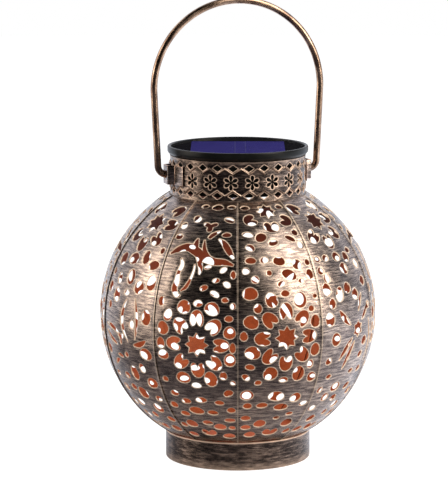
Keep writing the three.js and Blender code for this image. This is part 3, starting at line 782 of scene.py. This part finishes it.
def brushed_metal(name, dark, middle, light, rim, patina, rough=0.24, fine=6000, long=150, worn=True,
                  grain=False):
    """Dark patina over copper-coloured metal, rubbed back in brush marks. Worn adds bright worn edges, and a
    painted shadow beside each gore's lip, from the piece's own attributes; grain lays the marks along the
    piece's grain attribute."""
    material, tree, shader = new_material(name, Metallic=1.0)
    if grain:
        laid = node(tree, "Attribute", attribute_name="grain").outputs["Vector"]
    else:
        laid = node(tree, "TexCoord").outputs["Object"]
    brush = placed(tree, "brush", Fine=fine, Long=long, Place=laid)
    patches = placed(tree, "patina", Amount=patina)
    tone = calc(tree, "MULTIPLY_ADD", brush["Marks"], 0.5, 0.04)
    tone = calc(tree, "MULTIPLY_ADD", brush["Broad"], 0.42, tone)
    ramp = node(tree, "ValToRGB", {0: tone})
    first, last = ramp.color_ramp.elements
    first.position, first.color = 0.18, (*dark, 1)
    last.position, last.color = 0.86, (*light, 1)
    ramp.color_ramp.elements.new(0.5).color = (*middle, 1)
    color = mix(tree, calc(tree, "MULTIPLY", patches["Patina"], 0.6), ramp.outputs[0], dark)
    color = mix(tree, calc(tree, "MULTIPLY", patches["Speckle"], 0.2), color, light)
    roughness = spread(tree, brush["Marks"], 0.0, 1.0, rough - 0.07, rough + 0.13)
    if worn:
        edge = node(tree, "Attribute", attribute_name="worn").outputs["Fac"]
        broken = calc(tree, "MULTIPLY_ADD", brush["Broad"], 0.6, 0.75)
        bright = calc(tree, "MINIMUM", calc(tree, "MULTIPLY", edge, broken), 1.0)
        color = mix(tree, bright, color, rim)
        # Painted shadow beside each gore's lip, read from the shade attribute.
        seam_shadow = node(tree, "Attribute", attribute_name="shade").outputs["Fac"]
        color = mix(tree, seam_shadow, color, SEAM_SHADOW_COLOR)
        roughness = calc(tree, "MULTIPLY_ADD", bright, 0.2, roughness)
        connect(tree, shader, {"Metallic": calc(tree, "MULTIPLY_ADD", bright, -0.75, 1.0)})
    bump = node(tree, "Bump", {"Strength": 0.3, "Distance": 0.00012, "Height": brush["Marks"]})
    connect(tree, shader, {"Base Color": color, "Roughness": roughness, "Normal": bump.outputs[0]})
    return material


def inside_paint_and_shade():
    """Warm copper paint on the inside of the sheet, uneven and lightly speckled, with painted shade darkening
    it towards the neck, where the solar head shades it.
    """
    material, tree, shader = new_material("inside_copper_paint_and_shade", Metallic=0.3, Roughness=0.5)
    patches = placed(tree, "patina", Scale=90, Amount=0.45)
    color = mix(tree, patches["Patina"], (0.62, 0.155, 0.05), (0.46, 0.11, 0.036))
    color = mix(tree, patches["Speckle"], color, (0.7, 0.21, 0.08))
    place = node(tree, "SeparateXYZ", {0: node(tree, "TexCoord").outputs["Object"]})
    # Painted shade: the inside turns darker towards the neck, under the solar head.
    painted_neck_shade = spread(tree, place.outputs[2], 0.085, 0.125)
    connect(tree, shader, {"Base Color": mix(tree, painted_neck_shade, color, (0.11, 0.042, 0.03))})
    return material


MOULDED_GRAIN = 2600     # specks per metre


def moulded(name, color, rough, strength=0.06, metallic=0.0, variation=0.25, gloss=0.5):
    """Moulded plastic, rubber, board or plated steel: a fine grain, with the colour a little uneven."""
    material, tree, shader = new_material(name, Metallic=metallic, Specular_IOR_Level=gloss)
    patches = placed(tree, "patina", Scale=MOULDED_GRAIN / SPECKS_PER_PATCH, Amount=0.4)
    lighter = tuple(min(1, c * (1 + variation) + 0.002) for c in color)
    bump = node(tree, "Bump", {"Strength": strength, "Distance": 0.0001, "Height": patches["Speckle"]})
    connect(tree, shader, {
        "Base Color": mix(tree, patches["Patina"], color, lighter),
        "Roughness": spread(tree, patches["Speckle"], 0.0, 1.0, rough, rough + 0.12),
        "Normal": bump.outputs[0]})
    return material


LINE_PITCH = 0.0022      # from one collector line to the next, in metres
LINE_SHARE = 0.09        # how much of that the line itself takes


def cell_finish():
    """Deep blue silicon with faint crystal patches and fine silver collector lines."""
    material, tree, shader = new_material("solar_cell_blue", Metallic=0.0, Roughness=0.3,
                                          Specular_IOR_Level=0.0)
    place = node(tree, "TexCoord").outputs["Object"]
    crystals = node(tree, "TexVoronoi", {"Vector": place, "Scale": 130.0})
    facets = node(tree, "SeparateColor", {0: crystals.outputs["Color"]})
    color = mix(tree, facets.outputs[0], (0.026, 0.022, 0.15), (0.03, 0.026, 0.165))
    turned = node(tree, "Mapping", {"Vector": place, "Rotation": (0, 0, -HEAD_TURN)})
    parts = node(tree, "SeparateXYZ", {0: turned.outputs[0]})
    along = calc(tree, "FRACT", calc(tree, "MULTIPLY", parts.outputs[1], 1 / LINE_PITCH))
    faint = calc(tree, "MULTIPLY", calc(tree, "LESS_THAN", along, LINE_SHARE), 0.12)
    connect(tree, shader, {"Base Color": mix(tree, faint, color, (0.30, 0.31, 0.42))})
    return material


def clear_finish(name, tint, other_tint, **values):
    """A clear material whose tint is a little uneven."""
    material, tree, shader = new_material(name, **values)
    patches = placed(tree, "patina", Scale=40)
    connect(tree, shader, {"Base Color": mix(tree, patches["Patina"], tint, other_tint)})
    return material


BRONZE = brushed_metal("bronze_brushed", (0.06, 0.05, 0.053), (0.32, 0.252, 0.222), (0.84, 0.675, 0.55),
                       (1.0, 0.8, 0.6), 0.44)
# A darker copy of the bronze. On the neck band it is painted shade under the cap; the base ring, collar and
# plate are darker too.
DARK_BRONZE = brushed_metal("bronze_dark", (0.022, 0.018, 0.018), (0.115, 0.086, 0.072), (0.62, 0.46, 0.36),
                            (0.85, 0.62, 0.47), 0.46, fine=3600)
WIRE = brushed_metal("copper_wire_brushed", (0.12, 0.075, 0.06), (0.48, 0.315, 0.21), (0.88, 0.64, 0.47),
                     (0.95, 0.7, 0.55), 0.46, fine=900, long=70, worn=False, grain=True)
CUT_COPPER = brushed_metal("copper_cut_edge", (0.5, 0.3, 0.2), (0.85, 0.55, 0.4), (1.0, 0.72, 0.55),
                           (1, 0.8, 0.65), 0.15, rough=0.35, worn=False)
INSIDE = inside_paint_and_shade()
BLACK = moulded("black_moulding", (0.0045, 0.005, 0.0045), 0.32, gloss=0.18)
BLACK_BOARD = moulded("black_board", (0.004, 0.004, 0.005), 0.4, variation=0.1, gloss=0.0)
RUBBER = moulded("seal_rubber", (0.02, 0.02, 0.02), 0.75, strength=0.15)
GREEN_BOARD = moulded("board_green", (0.02, 0.16, 0.06), 0.4, variation=0.4)
BUS = moulded("cell_bus", (0.045, 0.042, 0.17), 0.4, gloss=0.0)
STEEL = moulded("plated_steel", (0.62, 0.63, 0.65), 0.22, metallic=1.0, variation=0.08)
SLEEVE = moulded("battery_sleeve", (0.05, 0.24, 0.09), 0.3)
RED = moulded("lead_red", (0.42, 0.02, 0.015), 0.4)
JET = moulded("lead_black", (0.012, 0.012, 0.012), 0.4)
CELL = cell_finish()
COVER = clear_finish("clear_cover", (0.08, 0.08, 0.1), (0.07, 0.07, 0.09), Roughness=0.3, Alpha=0.04,
                     Specular_IOR_Level=0.0)
LENS = clear_finish("clear_lens", (0.96, 0.98, 1.0), (0.9312, 0.9506, 0.97), Roughness=0.06, IOR=1.45,
                    Transmission_Weight=1.0, Specular_IOR_Level=0.5)
RESIN = clear_finish("led_resin", (1.0, 0.95, 0.8), (0.97, 0.9215, 0.776), Roughness=0.1, IOR=1.45,
                     Transmission_Weight=1.0, Specular_IOR_Level=0.5)


# ---------- globe ----------

GORE_SHEET_PITCH = 2.6
RIM = 0.6            # width of the worn edge round a hole
GUIDE_INSETS = (0.45, 0.9, 1.35)
BASE_EDGE_R = 39.0   # the globe's openings, where it meets the base ring and the neck
NECK_EDGE_R = 39.6
SEAM_ROWS = 84
SEAM_GAP = 0.03      # each gore's left edge ends this far from the seam's middle
OVERLAP = 0.35       # and its right edge reaches this far over the neighbour
LIP_HEIGHT = 0.55    # folded lip along one edge of each gore
LIP_WIDTH = 0.8
HOLE_FROM_SEAM = 1.2     # least distance of a hole from a seam
MOST_SHIFT = 2.4         # a hole that would have to move further than this is left out


def globe_place(x, y, out):
    lat = y / DEG_MM
    lon = math.radians(x / (DEG_MM * math.cos(math.radians(lat))))
    lat = math.radians(lat)
    r = GLOBE_R + out
    return (r * math.cos(lat) * math.cos(lon), r * math.cos(lat) * math.sin(lon),
            GLOBE_Z + r * math.sin(lat))


def seam_distance(x, y):
    """How far a point is inside the right edge, and inside the left edge, of its gore."""
    half = GORE_DEG / 2 * math.cos(math.radians(y / DEG_MM)) * DEG_MM
    return half - x, half + x


def gore_relief(x, y):
    """The seam's lip, the tuck beside the neighbour's lip, and shallow dents that fade out at the seams."""
    right, left = seam_distance(x, y)
    lip = LIP_HEIGHT * math.exp(-(max(0.0, right) / LIP_WIDTH) ** 2)
    tuck = -0.1 * math.exp(-(left / LIP_WIDTH) ** 2)
    dents = 0.13 * math.sin(0.23 * x + 0.7) * math.sin(0.17 * y + 0.4) + 0.06 * math.sin(0.5 * x - 0.31 * y)
    fade = min(1.0, right / 6, left / 6)
    return lip + tuck + dents * max(0.0, fade)


def gore_worn(x, y):
    """The lip is rubbed bright."""
    return 0.4 * math.exp(-(max(0.0, seam_distance(x, y)[0]) / 0.4) ** 2)


def gore_seam_shadow(x, y):
    """A painted shadow in the gap beside the neighbouring gore's lip."""
    return math.exp(-(seam_distance(x, y)[1] / 0.45) ** 2)


def gore_outline(inset=0.0):
    """The gore's edge, optionally with its two long sides moved in, as (right side, left side) from
    bottom to top."""
    low = -math.degrees(math.acos(BASE_EDGE_R / GLOBE_R))
    high = math.degrees(math.acos(NECK_EDGE_R / GLOBE_R))
    rows = np.linspace(low, high, SEAM_ROWS)
    half = [GORE_DEG / 2 * math.cos(math.radians(v)) * DEG_MM - inset for v in rows]
    right = [(h + OVERLAP, v * DEG_MM) for h, v in zip(half, rows)]
    left = [(SEAM_GAP - h, v * DEG_MM) for h, v in zip(half, rows)]
    return right, left


def clear_of_seams(holes):
    """Moves holes in from a gore's long edges, and drops those that reach too far over them."""
    kept = []
    for hole in holes:
        gaps = [seam_distance(x, y) for x, y in hole]
        right = HOLE_FROM_SEAM - min(gap[0] for gap in gaps)
        left = HOLE_FROM_SEAM - min(gap[1] for gap in gaps)
        if max(left, right) < MOST_SHIFT:
            shift = max(0.0, left) - max(0.0, right)
            kept.append([(x + shift, y) for x, y in hole])
    return kept


def between(start, end, steps):
    """Points on a straight run from one point to another, without the two."""
    (ax, ay), (bx, by) = start, end
    return [(ax + (bx - ax) * i / steps, ay + (by - ay) * i / steps) for i in range(1, steps)]


def filled_gore(pattern):
    right, left = gore_outline()
    outline = right + between(right[-1], left[-1], 12) + left[::-1] + between(left[0], right[0], 12)
    guides = []
    for inset in GUIDE_INSETS:
        guides += [side[1:-1] for side in gore_outline(inset)]
    return pierced(outline, clear_of_seams(pattern), guides, GORE_SHEET_PITCH, RIM)


# The pattern on each gore, counted from +X.
GORE_ORDER = "BDABACABDA"


def make_globe():
    patterns = {"A": gore_with_wings(), "B": gore_with_ovals(), "C": gore_with_loops(),
                "D": gore_with_leaves()}
    made = {}
    for kind in sorted(set(GORE_ORDER)):
        filled = filled_gore(patterns[kind])
        made[kind] = sheet_mesh(filled, globe_place, gore_relief, RIM, SHEET, gore_worn, gore_seam_shadow)
    for i, kind in enumerate(GORE_ORDER):
        turn = math.radians((i + 0.5) * GORE_DEG)
        gore = sheet_object(f"globe_gore_{i + 1:02d}", made[kind], [BRONZE, INSIDE], turn)
        settle(gore, "lantern", "bronze_sheet", f"globe_panel_{i + 1:02d}")


# ---------- base ----------

BASE_WALL = 0.8
BASE_HEM = 3.2           # width of the hem turned in under the ring
BEAD = 0.35              # how far the ring's top bead stands out
DRAINS, DRAIN_R, DRAINS_OUT = 6, 3, 22
PLATE_SHEET = 0.7
DISH = 0.4


def mark_worn(obj, wear_at=lambda x, y, z: 0.0):
    """Writes how worn each point is, from its place in millimetres."""
    layer = obj.data.attributes.new("worn", "FLOAT", "POINT")
    for v, slot in zip(obj.data.vertices, layer.data):
        slot.value = min(1.0, wear_at(*(v.co / MM)))


def make_base():
    top = base_high.z
    inner, hem = BASE_R - BASE_WALL, BASE_R - BASE_HEM
    outline = round_corners([
        (hem, 0), (BASE_R, 0), (BASE_R, 0.35 * top), (BASE_R, top - 1.2), (BASE_R + BEAD, top - 0.6),
        (BASE_R, top), (inner, top), (inner, BASE_WALL), (hem, BASE_WALL)], 0.45)
    ring = lathe("base_ring_rolled", outline, DARK_BRONZE, 160)
    mark_worn(ring, lambda x, y, z: math.exp(-((z - top + 0.4) / 0.5) ** 2) + 0.8 * math.exp(-(z / 0.5) ** 2))
    settle(ring, "lantern", "dark_bronze_sheet", "base_ring")

    plate_high = low_high("base_plate")[1]
    radius = plate_high.x
    turns = [math.radians(360 / DRAINS * i) for i in range(DRAINS)]
    holes = [circle(DRAIN_R, 28, DRAINS_OUT * math.cos(t), DRAINS_OUT * math.sin(t)) for t in turns]
    filled = pierced(circle(radius, 120), holes, [], 4.0, 0.6)

    def place(x, y, out):
        return (x, y, plate_high.z + 0.3 + out)

    def dish(x, y):
        return -DISH * (math.hypot(x, y) / radius) ** 2

    made = sheet_mesh(filled, place, dish, 0.6, PLATE_SHEET)
    plate = sheet_object("floor_plate", made, [INSIDE, DARK_BRONZE])
    settle(plate, "lantern", "dark_bronze_sheet", "base_plate")


# ---------- neck ----------

FLOWERS = 20
FLOWER_R = 4.3
FLOWER_Z = 165.4
FIRST_FLOWER = 12.2      # degrees round from +X
EAR_CLEARANCE = 20       # degrees on each side of an ear without flowers
JOINT_CLEARANCE = 4.5
DIAMONDS = 27
DIAMOND_W, DIAMOND_H = 5.8, 4.0
DIAMOND_ROWS = (157.9, 173.5)
FIRST_DIAMOND = 8.0
BAND_START = math.radians(FIRST_DIAMOND + 360 / DIAMONDS / 2)   # the band's joint, between two diamonds
BAND_STEPS, BAND_ROWS = 220, 16
ZIGZAG_HEIGHT = 0.5
ZIGZAG_HALF = 0.55
COLLAR_IN = 1.15         # how far inside the band's middle the collar's outside lies
COLLAR_SHEET = 0.5


def six_petals(radius):
    """Six pointed petals joined at the middle."""
    def at_turn(t):
        lobe = abs(math.cos(3 * t)) ** 0.5
        return radius * (0.17 + 0.83 * lobe)
    return ring_points(at_turn, 72)


def neck_x(angle):
    """Distance round the band, from its joint to an angle."""
    return ((angle - BAND_START) % (2 * math.pi)) * NECK_R


def neck_zigzags():
    """The embossed lines, one under the upper diamonds and one over the lower ones."""
    pitch = 2 * math.pi * NECK_R / DIAMONDS
    lines = []
    for row, away in ((DIAMOND_ROWS[1], -1), (DIAMOND_ROWS[0], 1)):
        valley = row + away * (DIAMOND_H / 2 + 1.15)
        peak = row + away * 0.1
        points = []
        for i in range(2 * DIAMONDS):
            a = (i * pitch / 2, peak if i % 2 == 0 else valley)
            b = ((i + 1) * pitch / 2, valley if i % 2 == 0 else peak)
            points += [(a[0] + (b[0] - a[0]) * k / 4, a[1] + (b[1] - a[1]) * k / 4) for k in range(4)]
        points.append((2 * DIAMONDS * pitch / 2, peak))
        lines.append(points)
    return lines


def make_neck():
    low, high = neck_low.z, neck_high.z
    around = 2 * math.pi * NECK_R
    holes = []
    for i in range(FLOWERS):
        angle = math.radians(FIRST_FLOWER + 360 * i / FLOWERS)
        from_ear = abs((math.degrees(angle) + 90) % 180 - 90)
        x = neck_x(angle)
        if from_ear >= EAR_CLEARANCE and JOINT_CLEARANCE < x < around - JOINT_CLEARANCE:
            holes.append([(x + dx, FLOWER_Z + dy) for dx, dy in six_petals(FLOWER_R)])
    w, h = DIAMOND_W / 2, DIAMOND_H / 2
    diamond = round_corners([(-w, 0), (0, -h), (w, 0), (0, h)], 0.25, 2)
    for z in DIAMOND_ROWS:
        for i in range(DIAMONDS):
            x = neck_x(math.radians(FIRST_DIAMOND + 360 * i / DIAMONDS))
            holes.append([(x + dx, z + dy) for dx, dy in diamond])
    zigzags = neck_zigzags()
    guides = []
    for line in zigzags:
        guides.append(line)
        for side in (-1, 1):
            guides.append([(x, z + side * ZIGZAG_HALF * 1.2) for x, z in line])
    steps, rows = range(BAND_STEPS), range(BAND_ROWS)
    bottom = [(around * i / BAND_STEPS, low) for i in steps]
    top = [(around * (BAND_STEPS - i) / BAND_STEPS, high) for i in steps]
    right = [(around, low + (high - low) * i / BAND_ROWS) for i in rows]
    left = [(0.0, high - (high - low) * i / BAND_ROWS) for i in rows]
    filled = pierced(bottom + right + top + left, holes, guides, 2.2, RIM)
    near_zigzag = distance_to_loops(filled[0], zigzags, closed=False)
    lookup = {(round(x, 4), round(z, 4)): d for (x, z), d in zip(filled[0], near_zigzag)}

    def ridge(x, z):
        return max(0.0, 1 - lookup[(round(x, 4), round(z, 4))] / ZIGZAG_HALF)

    def rims(z, width):
        return math.exp(-((z - low) / width) ** 2) + math.exp(-((z - high) / width) ** 2)

    def relief(x, z):
        return ZIGZAG_HEIGHT * ridge(x, z) + 0.2 * rims(z, 0.6)

    def place(x, z, out):
        angle = BAND_START + x / NECK_R
        r = NECK_R + out
        return (r * math.cos(angle), r * math.sin(angle), z)

    def worn(x, z):
        return 0.5 * ridge(x, z) ** 1.5 + 0.4 * rims(z, 0.4)

    made = sheet_mesh(filled, place, relief, RIM, SHEET, worn)
    # The neck band takes the darker copy of the bronze: painted shade under the cap.
    band = sheet_object("neck_band_pierced", made, [DARK_BRONZE, INSIDE])
    settle(band, "lantern", "bronze_sheet", "neck_band")

    c_low, c_high = low_high("neck_collar")
    outer = NECK_R - COLLAR_IN
    strip = round_corners(box_outline(outer - COLLAR_SHEET, c_low.z, outer, c_high.z), 0.15, 2)
    collar = lathe("collar_strip", strip, DARK_BRONZE)
    mark_worn(collar)
    settle(collar, "lantern", "dark_bronze_sheet", "neck_collar")


def arc(radius, start, end, steps, cx=0.0, cy=0.0):
    turns = [start + (end - start) * i / steps for i in range(steps + 1)]
    return [(cx + radius * math.cos(t), cy + radius * math.sin(t)) for t in turns]


EAR_SHEET = 0.85
EAR_HALF = 4.6                   # half the box's width
EAR_TIP = math.radians(20.5)     # how far round the band a flange reaches
OUTER_BEND, INNER_BEND = 1.0, 0.3
EAR_HOLE_R = 2.3


def make_ear(name, node_name, side):
    """A strap bent out into a box, open above and below, its flanges flat on the band."""
    reach = ear_high.x
    flange_in = NECK_R + 0.15
    flange_out = flange_in + EAR_SHEET
    root_out = math.asin(EAR_HALF / flange_out)
    root_in = math.asin((EAR_HALF - EAR_SHEET) / flange_in)
    quarter = math.pi / 2
    out_x, out_y = reach - OUTER_BEND, EAR_HALF - OUTER_BEND
    in_x, in_y = reach - EAR_SHEET - INNER_BEND, EAR_HALF - EAR_SHEET - INNER_BEND
    outline = (
        arc(flange_out, -EAR_TIP, -root_out - 0.02, 8)
        + [(flange_out + 0.8, -EAR_HALF)]
        + arc(OUTER_BEND, -quarter, 0, 5, out_x, -out_y)
        + arc(OUTER_BEND, 0, quarter, 5, out_x, out_y)
        + [(flange_out + 0.8, EAR_HALF)]
        + arc(flange_out, root_out + 0.02, EAR_TIP, 8)
        + arc(flange_in, EAR_TIP, root_in, 8)
        + arc(INNER_BEND, quarter, 0, 3, in_x, in_y)
        + arc(INNER_BEND, 0, -quarter, 3, in_x, -in_y)
        + arc(flange_in, -root_in, -EAR_TIP, 8)
    )
    ear = slab(name, outline, ear_low.z, ear_high.z, [BRONZE, CUT_COPPER])
    drill = [(reach - 3, 0, PIVOT_Z), (reach + 3, 0, PIVOT_Z)]
    hole = sweep("drill", drill, [EAR_HOLE_R, EAR_HOLE_R], CUT_COPPER, 36)
    cut = ear.modifiers.new("hole", "BOOLEAN")
    cut.operation, cut.solver, cut.object = "DIFFERENCE", "EXACT", hole
    apply_modifiers(ear)
    bpy.data.objects.remove(hole)
    soften(ear, 0.18, 1)
    if side < 0:
        ear.data.transform(Matrix.Rotation(math.pi, 4, "Z"))
    mark_worn(ear)
    settle(ear, "lantern", "bronze_sheet", node_name)


# ---------- bail ----------

BAIL_BEND = 5.0
FOOT_HALF = 48.0         # half the width between the legs' lower ends
TIP_HALF = 40.8          # and between the wire's ends, inside the ears
ROLLED_R = 50            # radius that the brush marks are laid out on
TIP_STEPS = ((0, 1.6), (0.35, 2.55), (0.8, 2.5))   # distance from a tip, and the upset wire's radius there


def lay_grain(bail, spring_z):
    """Lets the brush marks run along the wire: x is the way along it and z the way round it."""
    layer = bail.data.attributes.new("grain", "FLOAT_VECTOR", "POINT")
    for v, slot in zip(bail.data.vertices, layer.data):
        x, y, z = v.co / MM
        if z > spring_z:
            turn = math.atan2(x, z - spring_z)
            along, out = turn * ROLLED_R, math.hypot(x, z - spring_z)
        else:
            along, out = math.copysign(ROLLED_R * math.pi / 2 + spring_z - z, x), abs(x)
        slot.vector = (along * MM, 0, (y + 0.6 * (out - ROLLED_R)) * MM)


def make_bail():
    top = bail_high.z
    wire = (bail_high.y - bail_low.y) / 2
    half = bail_high.x - wire
    spring_z = top - wire - half
    path = [(-TIP_HALF - d, 0, PIVOT_Z) for d, _ in TIP_STEPS] + [(-TIP_HALF - 1.1, 0, PIVOT_Z)]
    radii = [r for _, r in TIP_STEPS]
    for t in np.linspace(0, math.pi / 2, 9):
        path.append((-FOOT_HALF + BAIL_BEND - BAIL_BEND * math.sin(t), 0,
                     PIVOT_Z + BAIL_BEND - BAIL_BEND * math.cos(t)))
    for s in np.linspace(0.08, 1, 16):
        x = FOOT_HALF + (half - FOOT_HALF) * s
        path.append((-x, 0, PIVOT_Z + BAIL_BEND + (spring_z - PIVOT_Z - BAIL_BEND) * s))
    for t in np.linspace(0, math.pi / 2, 40)[1:]:
        path.append((-half * math.cos(t), 0, spring_z + half * math.sin(t)))
    radii += [wire] * (len(path) - len(radii))
    path += [(-x, y, z) for x, y, z in path[:-1]][::-1]
    radii += radii[:-1][::-1]
    bail = sweep("bail_wire", path, radii, WIRE, 24)
    lay_grain(bail, spring_z)
    settle(bail, "bail", "copper_wire", "bail_handle")


# ---------- solar head ----------

RIM_INNER, RIM_LEDGE = 38.6, 35
BOARD_R, COVER_R = 38.2, 38.4
CELL_HALF = 27.0
BUS_PLACES = (-1.6, 4.4)
BUS_HALF = 0.3


def disc(name, node_name, radius, material, steps):
    """A round plate as high as its node."""
    low, high = low_high(node_name)
    profile = round_corners(box_outline(0.001, low.z, radius, high.z), 0.2, steps)
    return lathe(name, profile, material)


def make_cap():
    low, top = cap_low.z, cap_high.z
    outline = round_corners([
        (RIM_LEDGE, low), (39.1, low), (CAP_R - 0.1, low + 1.6), (CAP_R, low + 2.4), (CAP_R, top - 0.55),
        (CAP_R - 0.35, top), (CAP_R - 1.4, top), (RIM_INNER, top - 0.4), (RIM_INNER, low + 1.6),
        (RIM_LEDGE, low + 1.6)], 0.28)
    rim = lathe("cap_rim", outline, BLACK, 160)
    settle(rim, "solar_head", "black_plastic", "cap_bezel")

    backing = disc("panel_board", "panel_backing", BOARD_R, BLACK_BOARD, 2)
    settle(backing, "solar_head", "panel_black", "panel_backing")

    low, high = low_high("solar_cell")
    square = box_outline(-CELL_HALF, -CELL_HALF, CELL_HALF, CELL_HALF)
    cell = slab("blue_cell", square, low.z, high.z, [CELL], 0.08)
    end = CELL_HALF - 0.5
    strips = [box_outline(x - BUS_HALF, -end, x + BUS_HALF, end) for x in BUS_PLACES]
    join(cell, [slab("bus", strip, high.z - 0.05, high.z + 0.05, [BUS]) for strip in strips])
    cell.data.transform(Matrix.Rotation(HEAD_TURN, 4, "Z"))
    settle(cell, "solar_head", "cell_blue", "solar_cell")

    cover = disc("cover_disc", "panel_cover", COVER_R, COVER, 3)
    settle(cover, "solar_head", "clear_cover", "panel_cover")


def join(target, others):
    """Joins plain meshes into one piece, keeping each one's material."""
    bm = bmesh.new()
    bm.from_mesh(target.data)
    for other in others:
        first = len(target.data.materials)
        target.data.materials.append(other.data.materials[0])
        before = len(bm.faces)
        bm.from_mesh(other.data)
        bm.faces.ensure_lookup_table()
        for face in bm.faces[before:]:
            face.material_index = first
        bpy.data.objects.remove(other)
    bm.to_mesh(target.data)
    bm.free()
    shade(target.data, 40)


def finish_cad_nodes():
    """The pieces inside the head whose CAD shape is already right get their finish here."""
    finishes = {
        "cap_housing": BLACK, "seal_ring": RUBBER, "circuit_board": GREEN_BOARD, "board_screw_1": STEEL,
        "board_screw_2": STEEL, "battery": SLEEVE, "contact_plate": STEEL, "contact_spring": STEEL,
        "battery_door": BLACK, "door_pin": STEEL, "switch_body": STEEL, "switch_slider": BLACK,
        "led": RESIN, "lens_dome": LENS, "panel_lead_red": RED, "panel_lead_black": JET,
        "battery_lead_red": RED, "battery_lead_black": JET,
    }
    for name, material in finishes.items():
        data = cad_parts[name].data
        data.materials.clear()
        data.materials.append(material)


# ---------- stage, lights and camera ----------

CAMERA_TURN = math.radians(-18)   # where the camera stands, about +Z from -Y
CAMERA_OUT = 1.5284
CAMERA_UP = 0.3704
CAMERA_TILT = 0.16                # down from level, in radians
FOCAL_SHARE = 2670.7 / 488        # focal length in picture heights
AXIS_SHIFT = -13.8 / 488
DOWN_SHIFT = 1.3 / 488


def make_camera():
    data = bpy.data.cameras.new("camera")
    data.sensor_width = 36
    data.lens = 36 * FOCAL_SHARE
    data.shift_x = AXIS_SHIFT
    data.shift_y = DOWN_SHIFT
    data.clip_start, data.clip_end = 0.05, 50
    camera = in_scene("camera", data)
    camera.location = (math.sin(CAMERA_TURN) * CAMERA_OUT, -math.cos(CAMERA_TURN) * CAMERA_OUT, CAMERA_UP)
    camera.rotation_euler = (math.pi / 2 - CAMERA_TILT, 0, CAMERA_TURN)
    bpy.context.scene.camera = camera


def softbox(name, bearing, distance, height, size, power, color):
    """A rectangular light at a bearing in degrees round from the camera, aimed at the globe."""
    data = bpy.data.lights.new(name, "AREA")
    data.shape = "RECTANGLE"
    data.size, data.size_y = size
    data.energy = power
    data.color = color
    light = in_scene(name, data)
    turn = CAMERA_TURN + math.radians(bearing)
    light.location = (math.sin(turn) * distance, -math.cos(turn) * distance, height)
    aim = Vector((0, 0, 0.1)) - light.location
    light.rotation_euler = aim.to_track_quat("-Z", "Y").to_euler()
    return light


def level_distance(tree, place, direction):
    """How far a place lies along a level direction, given as a turn about +Z from -Y."""
    way = (math.sin(direction), -math.cos(direction), 0.0)
    return node(tree, "VectorMath", {0: place, 1: way}, operation="DOT_PRODUCT").outputs["Value"]


def make_world():
    """A plain white backdrop, and for reflections a room that is bright behind the lantern."""
    world = bpy.data.worlds.new("studio")
    bpy.context.scene.world = world
    world.use_nodes = True
    tree = world.node_tree
    tree.nodes.clear()
    facing = level_distance(tree, node(tree, "TexCoord").outputs["Generated"], CAMERA_TURN + math.pi)
    wall = spread(tree, facing, 0.0, 0.75, 0.012, 1.15, interpolation_type="SMOOTHSTEP")
    room = node(tree, "Background", {"Color": (0.88, 0.91, 1, 1), "Strength": wall})
    seen = node(tree, "Background", {"Color": (1, 1, 1, 1), "Strength": 1.0})
    path = node(tree, "LightPath").outputs["Is Camera Ray"]
    both = node(tree, "MixShader", {0: path, 1: room.outputs[0], 2: seen.outputs[0]})
    node(tree, "OutputWorld", {"Surface": both.outputs[0]})


FLOOR_R = 3.0
BRIGHT_SIDE = CAMERA_TURN + math.radians(155)


def make_stage():
    """A pale floor. In the lantern's reflections it is dark in front and bright behind."""
    bm = bmesh.new()
    bmesh.ops.create_circle(bm, cap_ends=True, segments=96, radius=FLOOR_R)
    mesh = bpy.data.meshes.new("floor")
    bm.to_mesh(mesh)
    bm.free()
    floor = in_scene("floor", mesh)
    floor.location.z = -0.0002
    material, tree, shader = new_material("pale_floor", Roughness=0.7, Specular_IOR_Level=0.0)
    seen = node(tree, "LightPath").outputs["Is Camera Ray"]
    behind = level_distance(tree, node(tree, "TexCoord").outputs["Object"], BRIGHT_SIDE)
    near = spread(tree, behind, -0.14, -0.02)
    far = spread(tree, behind, -0.05, 0.09, 0.0, 0.95)
    tone = mix(tree, near, (0.1, 0.1, 0.12), (0.5, 0.5, 0.54))
    connect(tree, shader, {
        "Base Color": mix(tree, seen, tone, (0.35, 0.35, 0.35)),
        "Emission Color": mix(tree, seen, (0.78, 0.87, 1), (1, 1, 1)),
        "Emission Strength": calc(tree, "MAXIMUM", calc(tree, "MULTIPLY", seen, 0.93), far)})
    mesh.materials.append(material)


def make_lights():
    """Two tall boxes at the sides, a weak fill from the front and a glow inside."""
    softbox("left_box", -84, 1.1, 0.42, (0.7, 1.4), 9.5, (1.0, 0.92, 0.83))
    softbox("right_box", 62, 1.15, 0.86, (0.66, 1.5), 21, (1.0, 0.93, 0.84))
    fill = softbox("front_fill", 8, 1.25, 0.6, (1.0, 1.0), 9, (1.0, 0.95, 0.88))
    fill.visible_glossy = False
    lamp = bpy.data.lights.new("inside_glow", "POINT")
    lamp.energy = 0.03
    lamp.color = (1.0, 0.7, 0.45)
    lamp.shadow_soft_size = 0.02
    in_scene("inside_glow", lamp).location = (0, 0, 0.05)


# ---------- putting it together ----------

make_camera()
make_globe()
make_base()
make_neck()
make_ear("ear_strap_right", "ear_right", 1)
make_ear("ear_strap_left", "ear_left", -1)
make_bail()
make_cap()
finish_cad_nodes()
make_stage()
make_lights()
make_world()
bpy.context.scene.view_settings.view_transform = "Standard"
